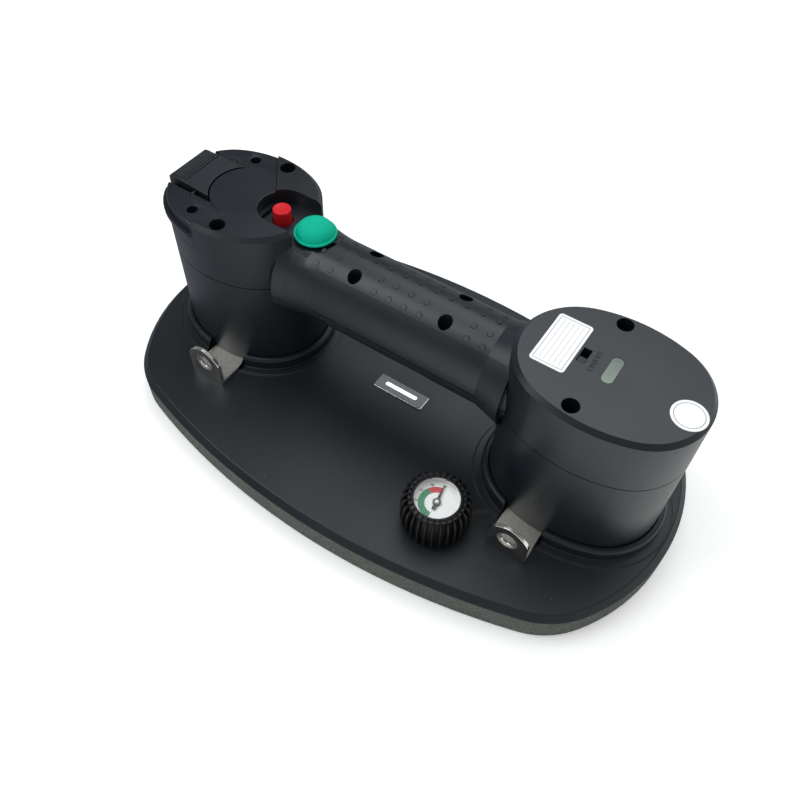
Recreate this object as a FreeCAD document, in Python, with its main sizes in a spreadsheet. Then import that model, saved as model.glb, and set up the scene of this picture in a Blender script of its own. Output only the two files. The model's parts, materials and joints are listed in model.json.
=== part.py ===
"""Battery suction lifter for floor tiles: two towers joined by a handle on a barrel-shaped sealing plate.

Origin: centre of the sealing plate, on the face that rests on the tile. +X runs along the handle towards
the pump tower, +Y away from the two lifting lugs, +Z up. Millimetres.
"""
import FreeCAD, Part
import math
import os
import re

import Sketcher
from FreeCAD import Placement, Rotation, Vector

os.makedirs("parts", exist_ok=True)
doc = FreeCAD.newDocument("SuctionLifter")

# ---------------------------------------------------------------- driving dimensions
DIMENSIONS = [
    # sealing plate and its two-layer seal
    ("base_length", 300.0), ("base_width", 178.0), ("base_end_radius", 97.0),
    ("base_side_radius", 371.0), ("base_corner_radius", 43.6),
    ("seal_lip_height", 2.0), ("seal_foam_height", 12.5), ("seal_width", 24.0), ("seal_lip_inset", 0.6),
    ("plate_thickness", 3.5), ("plate_bevel", 3.0), ("rib_height", 6.5), ("rib_thickness", 2.6),
    ("collar_height", 7.5), ("collar_wall", 3.0), ("collar_gap", 0.3), ("collar_bevel", 1.2),
    ("step_width", 7.0), ("step_height", 0.8),
    # towers and handle
    ("tower_width", 65.0), ("tower_end_radius", 30.5), ("tower_wall", 2.8), ("tower_bevel", 2.0),
    ("pump_centre", 97.0), ("pump_length", 84.0), ("battery_centre", 95.5),
    ("parting_height", 75.0), ("top_height", 105.5),
    ("handle_width", 42.0), ("handle_rise", 23.5), ("handle_drop", 17.0),
    ("handle_crown_radius", 19.0), ("handle_palm_radius", 30.0), ("flare_reach", 7.0), ("flare_rise", 3.5), ("seam_depth", 0.4), ("seam_height", 0.5),
    ("bulkhead_x", 24.0), ("bulkhead_length", 13.0), ("wire_way_radius", 4.0),
    # screws and their wells
    ("well_radius", 3.8), ("well_floor", 79.0), ("well_wall", 1.2),
    ("pump_screw_x", 90.4), ("battery_screw_x", 88.8), ("screw_inset", 6.9),
    ("handle_screw_y", 8.8), ("handle_well_radius", 3.3), ("handle_well_floor", 86.0),
    ("boss_radius", 4.2), ("screw_radius", 1.5), ("screw_head_radius", 2.9), ("screw_head_height", 2.2),
    ("screw_length", 18.0), ("screw_clearance", 0.05), ("base_screw_length", 15.0),
    # button recess, deck and buttons
    ("recess_radius", 12.3), ("recess_x", 72.5), ("button_y", 1.8), ("dome_x", 54.0), ("deck_height", 97.0),
    ("deck_thickness", 2.8), ("deck_radius", 10.6), ("recess_wall", 2.2), ("recess_wall_end", 61.0),
    ("release_x", 73.5), ("release_radius", 4.8), ("release_top", 104.0), ("release_flange_radius", 6.4),
    ("release_flange_height", 2.6), ("release_travel", 3.0),
    ("valve_top", 80.0), ("valve_radius", 6.4), ("valve_bore", 2.4), ("stem_radius", 1.7),
    ("poppet_radius", 4.0), ("poppet_height", 2.6), ("spring_wire", 0.6), ("spring_radius", 3.6),
    ("dome_flange_radius", 10.7), ("dome_radius", 9.2), ("dome_height", 6.4), ("dome_flange_height", 0.8),
    ("bead_width", 1.1), ("bead_height", 0.8),
    ("dome_gap", 1.5), ("plunger_radius", 2.4), ("microswitch_height", 6.5), ("microswitch_width", 6.4),
    ("microswitch_length", 12.8),
    # battery pack
    ("seam_x", 81.8), ("seam_y", 8.0), ("seam_end_x", 99.0), ("seam_end_y", 31.0), ("seam_gap", 0.3),
    ("bay_wall", 2.2), ("pack_split", 90.0), ("pack_gap", 0.3), ("band_top", 99.0), ("band_wall", 2.6),
    ("band_floor", 2.0), ("band_lip", 1.4), ("band_lip_height", 2.2),
    ("cap_top", 103.8), ("cap_inset", 0.8), ("cap_wall", 2.4), ("cap_disc_radius", 18.2), ("cap_bevel", 0.9),
    ("cap_disc_x", 93.8), ("cap_y", 1.5), ("cap_disc_height", 0.8), ("cap_screw_x", 107.0),
    ("cap_screw_inset", 9.6),
    ("cap_well_radius", 2.6), ("cap_well_floor", 97.0), ("cap_screw_head_radius", 2.3),
    ("cell_radius", 9.1), ("cell_height", 65.0), ("cell_gap", 0.4),
    ("case_wall", 1.2), ("case_bottom", 22.0), ("case_floor", 1.4),
    # battery latch
    ("latch_half_width", 13.6), ("latch_slot", 2.0), ("latch_end_x", 131.5), ("latch_inner_x", 105.0),
    ("latch_flank", 3.2), ("latch_groove_width", 0.7), ("latch_groove_pitch", 1.6), ("latch_groove_depth", 0.4),
    ("latch_block", 5.0), ("latch_block_bottom", 97.0), ("latch_outer_top", 106.4),
    ("latch_inner_top", 104.6), ("latch_thickness", 2.0), ("latch_travel", 2.0),
    ("latch_pin_x", 115.0), ("latch_pin_radius", 1.0), ("latch_pin_height", 103.1),
    # pump
    ("motor_x", 86.0), ("motor_radius", 13.8), ("motor_length", 38.0), ("motor_seat", 3.0), ("motor_wall", 1.5),
    ("rotor_radius", 10.0), ("rotor_length", 22.0),
    ("shaft_radius", 1.15), ("shaft_length", 19.0), ("eccentric_radius", 5.0), ("eccentric_offset", 1.5),
    ("eccentric_height", 6.0), ("frame_plate", 3.0), ("frame_half_width", 15.0), ("frame_wall_x", 112.0),
    ("frame_top", 89.0), ("stroke_height", 74.0), ("diaphragm_radius", 12.5), ("diaphragm_thickness", 1.5),
    ("head_length", 11.5), ("head_half_width", 13.0), ("head_half_height", 13.0),
    ("rod_thickness", 4.0), ("rod_width", 7.0), ("rod_ring", 2.2), ("rod_gap", 0.3),
    ("tube_x", 123.0), ("tube_radius", 3.0), ("tube_bore", 1.8), ("filter_radius", 7.0),
    ("filter_height", 2.0),
    # electronics
    ("board_left", 74.0), ("board_right", 116.0), ("board_half_width", 17.0), ("board_top", 96.6),
    ("board_thickness", 1.6), ("standoff_x", 110.0), ("standoff_y", 12.0), ("standoff_radius", 2.5),
    ("switch_x", 83.6), ("switch_y", 0.3), ("switch_slot_width", 3.8), ("switch_slot_length", 8.4),
    ("knob_length", 3.4), ("knob_top", 104.9), ("switch_body_height", 3.1),
    ("window_x", 96.3), ("window_width", 5.2), ("window_length", 15.2), ("window_top", 105.3),
    # lifting lugs
    ("lug_width", 20.5), ("lug_sheet", 2.0), ("pump_lug_x", 87.7), ("battery_lug_x", 91.5),
    ("lug_reach", 50.0), ("lug_inner", 21.0), ("lug_height", 21.0), ("lug_shoulder", 13.5),
    ("lug_arch_radius", 13.5), ("lug_hole_radius", 3.6), ("lug_hole_height", 11.3),
    ("lug_sink_radius", 5.2), ("lug_sink_depth", 0.8), ("lug_slot_gap", 0.6),
    # vacuum gauge
    ("gauge_x", 52.5), ("gauge_y", -53.5), ("boot_base_radius", 14.0), ("boot_core_radius", 14.2),
    ("boot_rib_radius", 16.5), ("boot_rib_count", 28), ("boot_rib_thickness", 1.9),
    ("boot_height", 20.3), ("boot_mouth_radius", 12.2), ("gauge_case_radius", 13.2),
    ("gauge_case_height", 17.6), ("gauge_case_floor", 14.0), ("gauge_bezel_radius", 12.1),
    ("dial_thickness", 0.6), ("lens_thickness", 1.0), ("pointer_length", 9.5), ("pointer_tail", 4.0),
    ("pointer_rest", 99.0), ("spindle_radius", 0.8), ("spindle_clearance", 0.05),
    ("pointer_hub_radius", 1.9), ("gauge_stem_radius", 4.0), ("gauge_port_radius", 1.5),
    # plates and labels
    ("badge_x", -2.9), ("badge_y", 1.5), ("badge_length", 31.0), ("badge_width", 10.4), ("badge_height", 1.2),
    ("label_x", 72.9), ("label_y", 1.35), ("label_length", 15.5), ("label_width", 29.4),
    ("label_thickness", 0.25), ("label_corner", 1.6), ("sticker_x", 130.1), ("sticker_y", -3.8), ("sticker_radius", 7.5),
]

sizes = doc.addObject("Spreadsheet::Sheet", "Sizes")
for row, (alias, number) in enumerate(DIMENSIONS, start=1):
    sizes.set(f"A{row}", alias)
    sizes.set(f"B{row}", str(number))
    sizes.setAlias(f"B{row}", alias)
doc.recompute()
ALIASES = {alias for alias, number in DIMENSIONS}

# sizes that follow from the driving ones: the screws keep to the walls, the bay and its tower to the cells
DERIVED = {
    "tower_screw_y": "(tower_width / 2 - screw_inset)",
    "cap_screw_y": "(tower_width / 2 - cap_screw_inset)",
    "cell_pitch": "(2 * cell_radius + cell_gap)",
    "cells_x": "(1.6 * cell_radius + 93.14)",
    "battery_length": "(7 * cell_radius + 15.3)",
}

# heights and half sizes that several pieces share
PLATE_BOTTOM = "(seal_lip_height + seal_foam_height)"
PLATE_TOP = "(seal_lip_height + seal_foam_height + plate_thickness)"
ROOF = "(top_height - tower_wall)"
DECK_UNDER = "(deck_height - deck_thickness)"
TOWERS = {"pump": ("pump_centre", "pump_length / 2"), "battery": ("-battery_centre", "battery_length / 2")}
HALF_TOWER = "(tower_width / 2)"
HALF_HANDLE = "(handle_width / 2)"
MOTOR_TOP = f"({PLATE_TOP} + motor_seat + motor_length)"


# ---------------------------------------------------------------- helpers: values and binding
def expand(expression):
    """The expression with every derived size written out."""
    return re.sub(r"[a-z][a-z_]+", lambda m: DERIVED.get(m.group(), m.group()), expression)


def bound(expression):
    """The expression with every alias pointing at the sheet."""
    return re.sub(r"[a-z][a-z_]+", lambda m: "Sizes." + m.group() if m.group() in ALIASES else m.group(),
                  expand(expression))


def value(expression):
    return float(sizes.evalExpression(expand(expression)))


def bind(item, **properties):
    """Bind properties to expressions; double underscores in a name stand for dots."""
    for name, expression in properties.items():
        item.setExpression(name.replace("__", "."), bound(expression))


def place(item, x="0", y="0", z="0"):
    bind(item, Placement__Base__x=x, Placement__Base__y=y, Placement__Base__z=z)
    return item


# ---------------------------------------------------------------- helpers: Part primitives
ALONG = {"x": Rotation(Vector(0, 1, 0), 90), "-x": Rotation(Vector(0, 1, 0), -90),
         "y": Rotation(Vector(1, 0, 0), -90), "-y": Rotation(Vector(1, 0, 0), 90), "z": Rotation()}


def cylinder(name, radius, height, x="0", y="0", z="0", axis="z"):
    item = doc.addObject("Part::Cylinder", name)
    bind(item, Radius=radius, Height=height)
    item.Placement = Placement(Vector(), ALONG[axis])
    return place(item, x, y, z)


def cone(name, radius1, radius2, height, x="0", y="0", z="0", axis="z"):
    item = doc.addObject("Part::Cone", name)
    bind(item, Radius1=radius1, Radius2=radius2, Height=height)
    item.Placement = Placement(Vector(), ALONG[axis])
    return place(item, x, y, z)


def block(name, x0, x1, y0, y1, z0, z1):
    """A box between six planes."""
    item = doc.addObject("Part::Box", name)
    bind(item, Length=f"({x1}) - ({x0})", Width=f"({y1}) - ({y0})", Height=f"({z1}) - ({z0})")
    return place(item, x0, y0, z0)


def fuse(name, items):
    item = doc.addObject("Part::MultiFuse", name)
    item.Shapes = items
    return item


def cut(name, base, tools):
    item = doc.addObject("Part::Cut", name)
    item.Base = base
    item.Tool = tools[0] if len(tools) == 1 else fuse(name + "_tools", tools)
    return item


def group(name, items):
    """Separate solids that share one node."""
    item = doc.addObject("Part::Compound", name)
    item.Links = items
    return item


def screw(name, x, y, seat, length, up=1, head_radius="screw_head_radius"):
    """A pan-head screw whose head sits on the plane z = seat; up is -1 when it is driven from below."""
    head_z = f"({seat})" if up == 1 else f"({seat}) - screw_head_height"
    shank_z = f"({seat}) - ({length})" if up == 1 else f"({seat})"
    head = cylinder(name + "_head", head_radius, "screw_head_height", x, y, head_z)
    shank = cylinder(name + "_shank", "screw_radius", length, x, y, shank_z)
    return fuse(name, [head, shank])


# ---------------------------------------------------------------- helpers: bodies and sketches
def new_body(label):
    body = doc.addObject("PartDesign::Body", label)
    body.Label = label
    return body


def new_sketch(body, offset="0", plane="XY_Plane"):
    sketch = body.newObject("Sketcher::SketchObject", body.Name + "_sketch")
    support = [item for item in body.Origin.OriginFeatures if item.Role == plane][0]
    sketch.AttachmentSupport = [(support, "")]
    sketch.MapMode = "FlatFace"
    bind(sketch, AttachmentOffset__Base__z=offset)
    return sketch


def constrain(sketch, kind, places, expression):
    index = sketch.addConstraint(Sketcher.Constraint(kind, *places, value(expression)))
    sketch.setExpression(f"Constraints[{index}]", bound(expression))


def draw_circle(sketch, x, y, radius):
    centre = Vector(value(x), value(y), 0)
    edge = sketch.addGeometry(Part.Circle(centre, Vector(0, 0, 1), value(radius)))
    constrain(sketch, "DistanceX", (-1, 1, edge, 3), x)
    constrain(sketch, "DistanceY", (-1, 1, edge, 3), y)
    constrain(sketch, "Radius", (edge,), radius)


def draw_outline(sketch, corners, arcs=None):
    """A closed loop through the corners. arcs gives a side's radius by its index: it bulges to the right of
    the way round, or to the left when the radius starts with a minus sign. "half" makes a half circle."""
    arcs = arcs or {}
    points = [Vector(value(x), value(y), 0) for x, y in corners]
    count = len(points)
    ends = []
    for index, start in enumerate(points):
        finish = points[(index + 1) % count]
        if index not in arcs:
            edge = sketch.addGeometry(Part.LineSegment(start, finish))
            ends.append((edge, 1, 2))
            continue
        chord = finish - start
        radius = chord.Length / 2 if arcs[index] == "half" else abs(value(arcs[index]))
        turn = -1 if arcs[index].startswith("-") else 1
        rise = math.sqrt(max(radius ** 2 - (chord.Length / 2) ** 2, 0.0))
        normal = Vector(-chord.y, chord.x, 0).normalize()
        centre = (start + finish) * 0.5 + normal * (rise * turn)
        first, last = (start, finish) if turn == 1 else (finish, start)
        angle_1 = math.atan2(first.y - centre.y, first.x - centre.x)
        angle_2 = math.atan2(last.y - centre.y, last.x - centre.x)
        if angle_2 < angle_1:
            angle_2 += 2 * math.pi
        circle = Part.Circle(centre, Vector(0, 0, 1), radius)
        edge = sketch.addGeometry(Part.ArcOfCircle(circle, angle_1, angle_2))
        ends.append((edge, 1, 2) if turn == 1 else (edge, 2, 1))
    for index, (x, y) in enumerate(corners):
        edge, start, finish = ends[index]
        before, before_start, before_finish = ends[index - 1]
        sketch.addConstraint(Sketcher.Constraint("Coincident", before, before_finish, edge, start))
        constrain(sketch, "DistanceX", (-1, 1, edge, start), x)
        constrain(sketch, "DistanceY", (-1, 1, edge, start), y)
    for index, radius in arcs.items():
        if radius != "half":
            constrain(sketch, "Radius", (ends[index][0],), radius.lstrip("-"))
            continue
        chord = points[(index + 1) % count] - points[index]
        kind, level = ("DistanceX", corners[index][0]) if abs(chord.x) < abs(chord.y) else \
            ("DistanceY", corners[index][1])
        constrain(sketch, kind, (-1, 1, ends[index][0], 3), level)


def draw_box(sketch, x0, x1, y0, y1):
    draw_outline(sketch, [(x0, y0), (x1, y0), (x1, y1), (x0, y1)])


def draw_oval(sketch, tower, inset="0"):
    """A four-arc oval: the plan of a tower, offset inwards by inset."""
    centre, half_length = TOWERS[tower]
    long_side = f"({half_length} - ({inset}))"
    short_side = f"({HALF_TOWER} - ({inset}))"
    end = f"(tower_end_radius - ({inset}))"
    side = f"((({long_side} - {end})^2 + {short_side}^2 - {end}^2) / (2 * ({short_side} - {end})))"
    touch_x = f"(({long_side} - {end}) * {side} / ({side} - {end}))"
    touch_y = f"({end} * ({side} - {short_side}) / ({side} - {end}))"
    corners = [(f"{centre} + {touch_x}", f"-{touch_y}"), (f"{centre} + {touch_x}", touch_y),
               (f"{centre} - {touch_x}", touch_y), (f"{centre} - {touch_x}", f"-{touch_y}")]
    draw_outline(sketch, corners, {0: end, 1: side, 2: end, 3: side})


def draw_slot(sketch, x0, x1, y, radius):
    """A stadium along X between two end centres."""
    corners = [(x0, f"({y}) - ({radius})"), (x1, f"({y}) - ({radius})"),
               (x1, f"({y}) + ({radius})"), (x0, f"({y}) + ({radius})")]
    draw_outline(sketch, corners, {1: "half", 3: "half"})


def draw_arch(sketch, rise, crown, inset="0", down=False):
    """Half of the handle's section above or below the parting line: two side arcs and a crown arc."""
    half = f"({HALF_HANDLE} - ({inset}))"
    high = f"({rise} - ({inset}))"
    top = f"({crown} - ({inset}))"
    side = f"(({half}^2 + ({high} - {top})^2 - {top}^2) / (2 * ({half} - {top})))"
    touch_x = f"({top} * ({side} - {half}) / ({side} - {top}))"
    touch_z = f"(({high} - {top}) * {side} / ({side} - {top}))"
    sign = "-" if down else "+"
    level = f"parting_height {sign} {touch_z}"
    if down:
        corners = [(f"-{half}", "parting_height"), (f"-{touch_x}", level), (touch_x, level),
                   (half, "parting_height")]
    else:
        corners = [(half, "parting_height"), (touch_x, level), (f"-{touch_x}", level),
                   (f"-{half}", "parting_height")]
    draw_outline(sketch, corners, {0: side, 1: top, 2: side})


def draw_barrel(sketch, inset="0"):
    """The plate's outline: end arcs, side arcs and corner arcs, tangent all round, offset inwards."""
    half_length = value(f"base_length / 2 - ({inset})")
    half_width = value(f"base_width / 2 - ({inset})")
    end, side, corner = (value(f"{name} - ({inset})") for name in
                         ("base_end_radius", "base_side_radius", "base_corner_radius"))
    # the corner arc's centre lies where it touches both neighbours from inside
    low, near = half_width - side, half_length - end
    reach_side, reach_end = side - corner, end - corner
    span = math.hypot(near, low)
    along = (reach_side ** 2 - reach_end ** 2 + span ** 2) / (2 * span)
    across = math.sqrt(reach_side ** 2 - along ** 2)
    corner_x = along * near / span - across * low / span
    corner_y = low - along * low / span - across * near / span
    turn_1 = math.atan2(corner_y, corner_x - near)
    turn_2 = math.atan2(corner_y - low, corner_x)
    arcs = []
    for sign_x, sign_y in ((1, 1), (-1, 1), (-1, -1), (1, -1)):
        flip = sign_x * sign_y == 1
        quarter = math.atan2(sign_y, sign_x) - math.pi / 4
        first = quarter + turn_1 if flip else quarter + math.pi / 2 - turn_2
        last = quarter + turn_2 if flip else quarter + math.pi / 2 - turn_1
        arcs.append((Vector(sign_x * corner_x, sign_y * corner_y, 0), corner, first, last))
    ends = [(Vector(near, 0, 0), end, -turn_1, turn_1), (Vector(-near, 0, 0), end, math.pi - turn_1,
                                                         math.pi + turn_1)]
    sides = [(Vector(0, low, 0), side, turn_2, math.pi - turn_2),
             (Vector(0, -low, 0), side, math.pi + turn_2, 2 * math.pi - turn_2)]
    order = [ends[0], arcs[0], sides[0], arcs[1], ends[1], arcs[2], sides[1], arcs[3]]
    edges = [sketch.addGeometry(Part.ArcOfCircle(Part.Circle(centre, Vector(0, 0, 1), radius), first, last))
             for centre, radius, first, last in order]
    for index, edge in enumerate(edges):
        following = edges[(index + 1) % len(edges)]
        sketch.addConstraint(Sketcher.Constraint("Tangent", edge, 2, following, 1))
    for edge in (edges[0], edges[4]):
        sketch.addConstraint(Sketcher.Constraint("PointOnObject", edge, 3, -1))
        constrain(sketch, "Radius", (edge,), f"base_end_radius - ({inset})")
    for edge in (edges[2], edges[6]):
        sketch.addConstraint(Sketcher.Constraint("PointOnObject", edge, 3, -2))
        constrain(sketch, "Radius", (edge,), f"base_side_radius - ({inset})")
    for edge in edges[1::2]:
        constrain(sketch, "Radius", (edge,), f"base_corner_radius - ({inset})")
    constrain(sketch, "DistanceX", (-1, 1, edges[0], 3), "base_length / 2 - base_end_radius")
    constrain(sketch, "DistanceX", (edges[4], 3, -1, 1), "base_length / 2 - base_end_radius")
    constrain(sketch, "DistanceY", (edges[2], 3, -1, 1), "base_side_radius - base_width / 2")
    constrain(sketch, "DistanceY", (-1, 1, edges[6], 3), "base_side_radius - base_width / 2")


def pad(body, sketch, length, reverse=False):
    feature = body.newObject("PartDesign::Pad", body.Name + "_pad")
    feature.Profile = sketch
    feature.Reversed = reverse
    bind(feature, Length=length)
    return feature


def pocket(body, sketch, length, reverse=False):
    """Cut against the sketch's normal, or along it when reversed."""
    feature = body.newObject("PartDesign::Pocket", body.Name + "_pocket")
    feature.Profile = sketch
    feature.Reversed = reverse
    bind(feature, Length=length)
    return feature


def pad_between(body, low, high, draw):
    """Pad what draw puts in a level sketch from height low to height high."""
    sketch = new_sketch(body, low)
    draw(sketch)
    return pad(body, sketch, f"({high}) - ({low})")


def pocket_between(body, low, high, draw):
    sketch = new_sketch(body, high)
    draw(sketch)
    return pocket(body, sketch, f"({high}) - ({low})")


def chamfer(body, size, chosen):
    """Bevel the edges that chosen accepts by their bounding box."""
    doc.recompute()
    solid = body.Tip
    names = [f"Edge{n}" for n, edge in enumerate(solid.Shape.Edges, start=1) if chosen(edge.BoundBox)]
    feature = body.newObject("PartDesign::Chamfer", body.Name + "_bevel")
    feature.Base = (solid, names)
    bind(feature, Size=size)
    return feature


def at_level(height, centre="0", reach="1000"):
    """Accepts edges that lie level at a height, within reach of a place along X."""
    z, x, limit = value(height), value(centre), value(reach)
    return lambda box: (abs(box.ZMin - z) < 0.01 and abs(box.ZMax - z) < 0.01
                        and abs((box.XMin + box.XMax) / 2 - x) < limit)


nodes = {}


def keep(item, name):
    item.Label = name
    nodes[name] = item


# ---------------------------------------------------------------- seal and sealing plate
def make_seal():
    """The closed-cell ring that seals on the tile, with a soft black skin on its underside."""
    foam = new_body("seal_foam")
    pad_between(foam, "seal_lip_height", PLATE_BOTTOM, draw_barrel)
    pocket_between(foam, "seal_lip_height", PLATE_BOTTOM, lambda s: draw_barrel(s, "seal_width"))
    keep(foam, "seal_foam")
    lip = new_body("seal_lip")
    pad_between(lip, "0", "seal_lip_height", lambda s: draw_barrel(s, "seal_lip_inset"))
    pocket_between(lip, "0", "seal_lip_height", lambda s: draw_barrel(s, "seal_width - seal_lip_inset"))
    keep(lip, "seal_lip")


def lug_slot(sketch, x):
    draw_box(sketch, f"{x} - lug_width / 2 - lug_slot_gap", f"{x} + lug_width / 2 + lug_slot_gap",
             f"-({HALF_TOWER} + step_width + 2)", "-lug_inner")


def make_base_plate():
    """The moulded plate: bevelled rim, ribs under it, and a collar round each tower's foot."""
    plate = new_body("base_plate")
    pad_between(plate, PLATE_BOTTOM, PLATE_TOP, draw_barrel)
    chamfer(plate, "plate_bevel", at_level(PLATE_TOP))
    rib_bottom = f"({PLATE_BOTTOM} - rib_height)"
    frame_inset = "(seal_width + 4)"
    pad_between(plate, rib_bottom, PLATE_BOTTOM, lambda s: draw_barrel(s, frame_inset))
    pocket_between(plate, rib_bottom, PLATE_BOTTOM,
                   lambda s: draw_barrel(s, f"{frame_inset} + rib_thickness"))
    for line in ("-36", "0", "36"):
        pad_between(plate, rib_bottom, PLATE_BOTTOM, lambda s, line=line: draw_box(
            s, "-base_length / 2 + seal_width", "base_length / 2 - seal_width",
            f"{line} - rib_thickness / 2", f"{line} + rib_thickness / 2"))
    for line in ("-60", "0", "60"):
        pad_between(plate, rib_bottom, PLATE_BOTTOM, lambda s, line=line: draw_box(
            s, f"{line} - rib_thickness / 2", f"{line} + rib_thickness / 2",
            "-base_width / 2 + seal_width", "base_width / 2 - seal_width"))
    # the ribs end at the frame, which leaves the seal its own groove
    trim = new_sketch(plate, PLATE_BOTTOM)
    draw_barrel(trim, "0")
    draw_barrel(trim, frame_inset)
    pocket(plate, trim, "rib_height + 1")
    for tower in TOWERS:
        pad_between(plate, PLATE_TOP, f"{PLATE_TOP} + step_height",
                    lambda s, tower=tower: draw_oval(s, tower, "-(collar_gap + step_width)"))
        pad_between(plate, PLATE_TOP, f"{PLATE_TOP} + collar_height",
                    lambda s, tower=tower: draw_oval(s, tower, "-(collar_gap + collar_wall)"))
        chamfer(plate, "collar_bevel", at_level(f"{PLATE_TOP} + collar_height", TOWERS[tower][0], "60"))
        pocket_between(plate, PLATE_TOP, f"{PLATE_TOP} + collar_height + 1",
                       lambda s, tower=tower: draw_oval(s, tower, "-collar_gap"))
    for x in ("pump_lug_x", "-battery_lug_x"):
        pocket_between(plate, PLATE_TOP, f"{PLATE_TOP} + collar_height + 1", lambda s, x=x: lug_slot(s, x))
    pad_between(plate, PLATE_TOP, f"{PLATE_TOP} + motor_seat",
                lambda s: draw_circle(s, "motor_x", "0", "motor_radius"))
    # air ports of the pump, the release valve and the gauge, and the screw holes
    holes = new_sketch(plate, f"{PLATE_TOP} + 1")
    draw_circle(holes, "tube_x", "0", "tube_bore")
    draw_circle(holes, "-release_x", "button_y", "valve_bore")
    draw_circle(holes, "gauge_x", "gauge_y", "gauge_port_radius")
    for x in ("pump_screw_x", "-battery_screw_x"):
        for side in ("", "-"):
            draw_circle(holes, x, f"{side}tower_screw_y", "screw_radius + screw_clearance")
    pocket(plate, holes, "plate_thickness + rib_height + 2")
    # wells in the ribs for the valve's poppet and the gauge's nut
    wells = new_sketch(plate, PLATE_BOTTOM)
    draw_circle(wells, "-release_x", "button_y", "poppet_radius + 1.5")
    draw_circle(wells, "gauge_x", "gauge_y", "gauge_stem_radius + 0.5")
    pocket(plate, wells, "rib_height + 1")
    keep(plate, "base_plate")


# ---------------------------------------------------------------- housing halves
def draw_bay_wall(sketch):
    """The V-shaped partition between the battery bay and the release valve's space."""
    length = "sqrt((seam_end_x - seam_x)^2 + (seam_end_y - seam_y)^2)"
    shift_x = f"(bay_wall * (seam_end_y - seam_y) / {length})"
    shift_y = f"(bay_wall * (seam_end_x - seam_x) / {length})"
    stop_x, stop_y = "(seam_end_x - 0.75)", "(seam_end_y - 1)"
    corners = [("-seam_x", "-seam_y"), (f"-{stop_x}", f"-{stop_y}"),
               (f"-{stop_x} + {shift_x}", f"-{stop_y} - {shift_y}"),
               (f"-seam_x + {shift_x}", f"-seam_y - {shift_y}"),
               (f"-seam_x + {shift_x}", f"seam_y + {shift_y}"),
               (f"-{stop_x} + {shift_x}", f"{stop_y} + {shift_y}"),
               (f"-{stop_x}", stop_y), ("-seam_x", "seam_y")]
    draw_outline(sketch, corners)


def draw_pack_side(sketch, gap="0"):
    """Everything on the battery's side of the V seam."""
    far = f"({HALF_TOWER} + 4)"
    run = f"(({far} - seam_y) * (seam_end_x - seam_x) / (seam_end_y - seam_y))"
    corners = [(f"-seam_x - ({gap})", "seam_y"), (f"-seam_x - {run} - ({gap})", far), ("-150", far),
               ("-150", f"-{far}"), (f"-seam_x - {run} - ({gap})", f"-{far}"),
               (f"-seam_x - ({gap})", "-seam_y")]
    draw_outline(sketch, corners)


def draw_valve_side(sketch, gap="0"):
    """Everything on the handle's side of the V seam."""
    far = f"({HALF_TOWER} + 4)"
    run = f"(({far} - seam_y) * (seam_end_x - seam_x) / (seam_end_y - seam_y))"
    corners = [(f"-seam_x - ({gap})", "-seam_y"), (f"-seam_x - {run} - ({gap})", f"-{far}"), ("-30", f"-{far}"),
               ("-30", far), (f"-seam_x - {run} - ({gap})", far), (f"-seam_x - ({gap})", "seam_y")]
    draw_outline(sketch, corners)


HANDLE_START = "(-battery_centre + battery_length / 2 - 14)"
HANDLE_END = "(pump_centre - pump_length / 2 + 14)"


def handle_run(body, draw, start, finish, cutting=False):
    """Pad or cut a section of the handle between two places along X."""
    sketch = new_sketch(body, finish if cutting else start, "YZ_Plane")
    draw(sketch)
    length = f"({finish}) - ({start})"
    return pocket(body, sketch, length) if cutting else pad(body, sketch, length)


def flare_handle(body, draw):
    """The handle grows wider over its last few millimetres before each tower."""
    for tower, side in (("pump", "-"), ("battery", "+")):
        centre, half_length = TOWERS[tower]
        wall = f"({centre} {side} {half_length})"
        small = new_sketch(body, f"{wall} {side} flare_reach", "YZ_Plane")
        draw(small, "0")
        large = new_sketch(body, f"{wall} {'+' if side == '-' else '-'} 6", "YZ_Plane")
        draw(large, "-flare_rise")
        loft = body.newObject("PartDesign::AdditiveLoft", body.Name + "_flare")
        loft.Profile = small
        loft.Sections = [large]
        loft.Ruled = True


def cut_seam(body):
    """The shadow line round the lower half, just under the parting plane."""
    for tower in TOWERS:
        sketch = new_sketch(body, "parting_height")
        draw_oval(sketch, tower, "-1")
        draw_oval(sketch, tower, "seam_depth")
        pocket(body, sketch, "seam_height")
    wall_1, wall_2 = "(-battery_centre + battery_length / 2)", "(pump_centre - pump_length / 2)"
    for side in ("", "-"):
        inner, outer = f"({HALF_HANDLE} - seam_depth)", f"({HALF_HANDLE} + 1)"
        corners = [(f"{wall_1} + flare_reach", inner), (f"{wall_2} - flare_reach", inner),
                   (wall_2, f"{inner} + flare_rise * flare_reach / (flare_reach + 6)"),
                   (wall_2, f"{outer} + flare_rise * flare_reach / (flare_reach + 6)"),
                   (f"{wall_2} - flare_reach", outer), (f"{wall_1} + flare_reach", outer),
                   (wall_1, f"{outer} + flare_rise * flare_reach / (flare_reach + 6)"),
                   (wall_1, f"{inner} + flare_rise * flare_reach / (flare_reach + 6)")]
        sketch = new_sketch(body, "parting_height")
        draw_outline(sketch, [(x, f"{side}({y})") for x, y in corners])
        pocket(body, sketch, "seam_height")


def hollow_handle(body, draw):
    """Three cavities, leaving a bulkhead at each pair of handle screws."""
    half = "bulkhead_length / 2"
    runs = [(HANDLE_START, f"-bulkhead_x - {half}"), (f"-bulkhead_x + {half}", f"bulkhead_x - {half}"),
            (f"bulkhead_x + {half}", HANDLE_END)]
    for start, finish in runs:
        handle_run(body, draw, start, finish, cutting=True)


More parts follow.
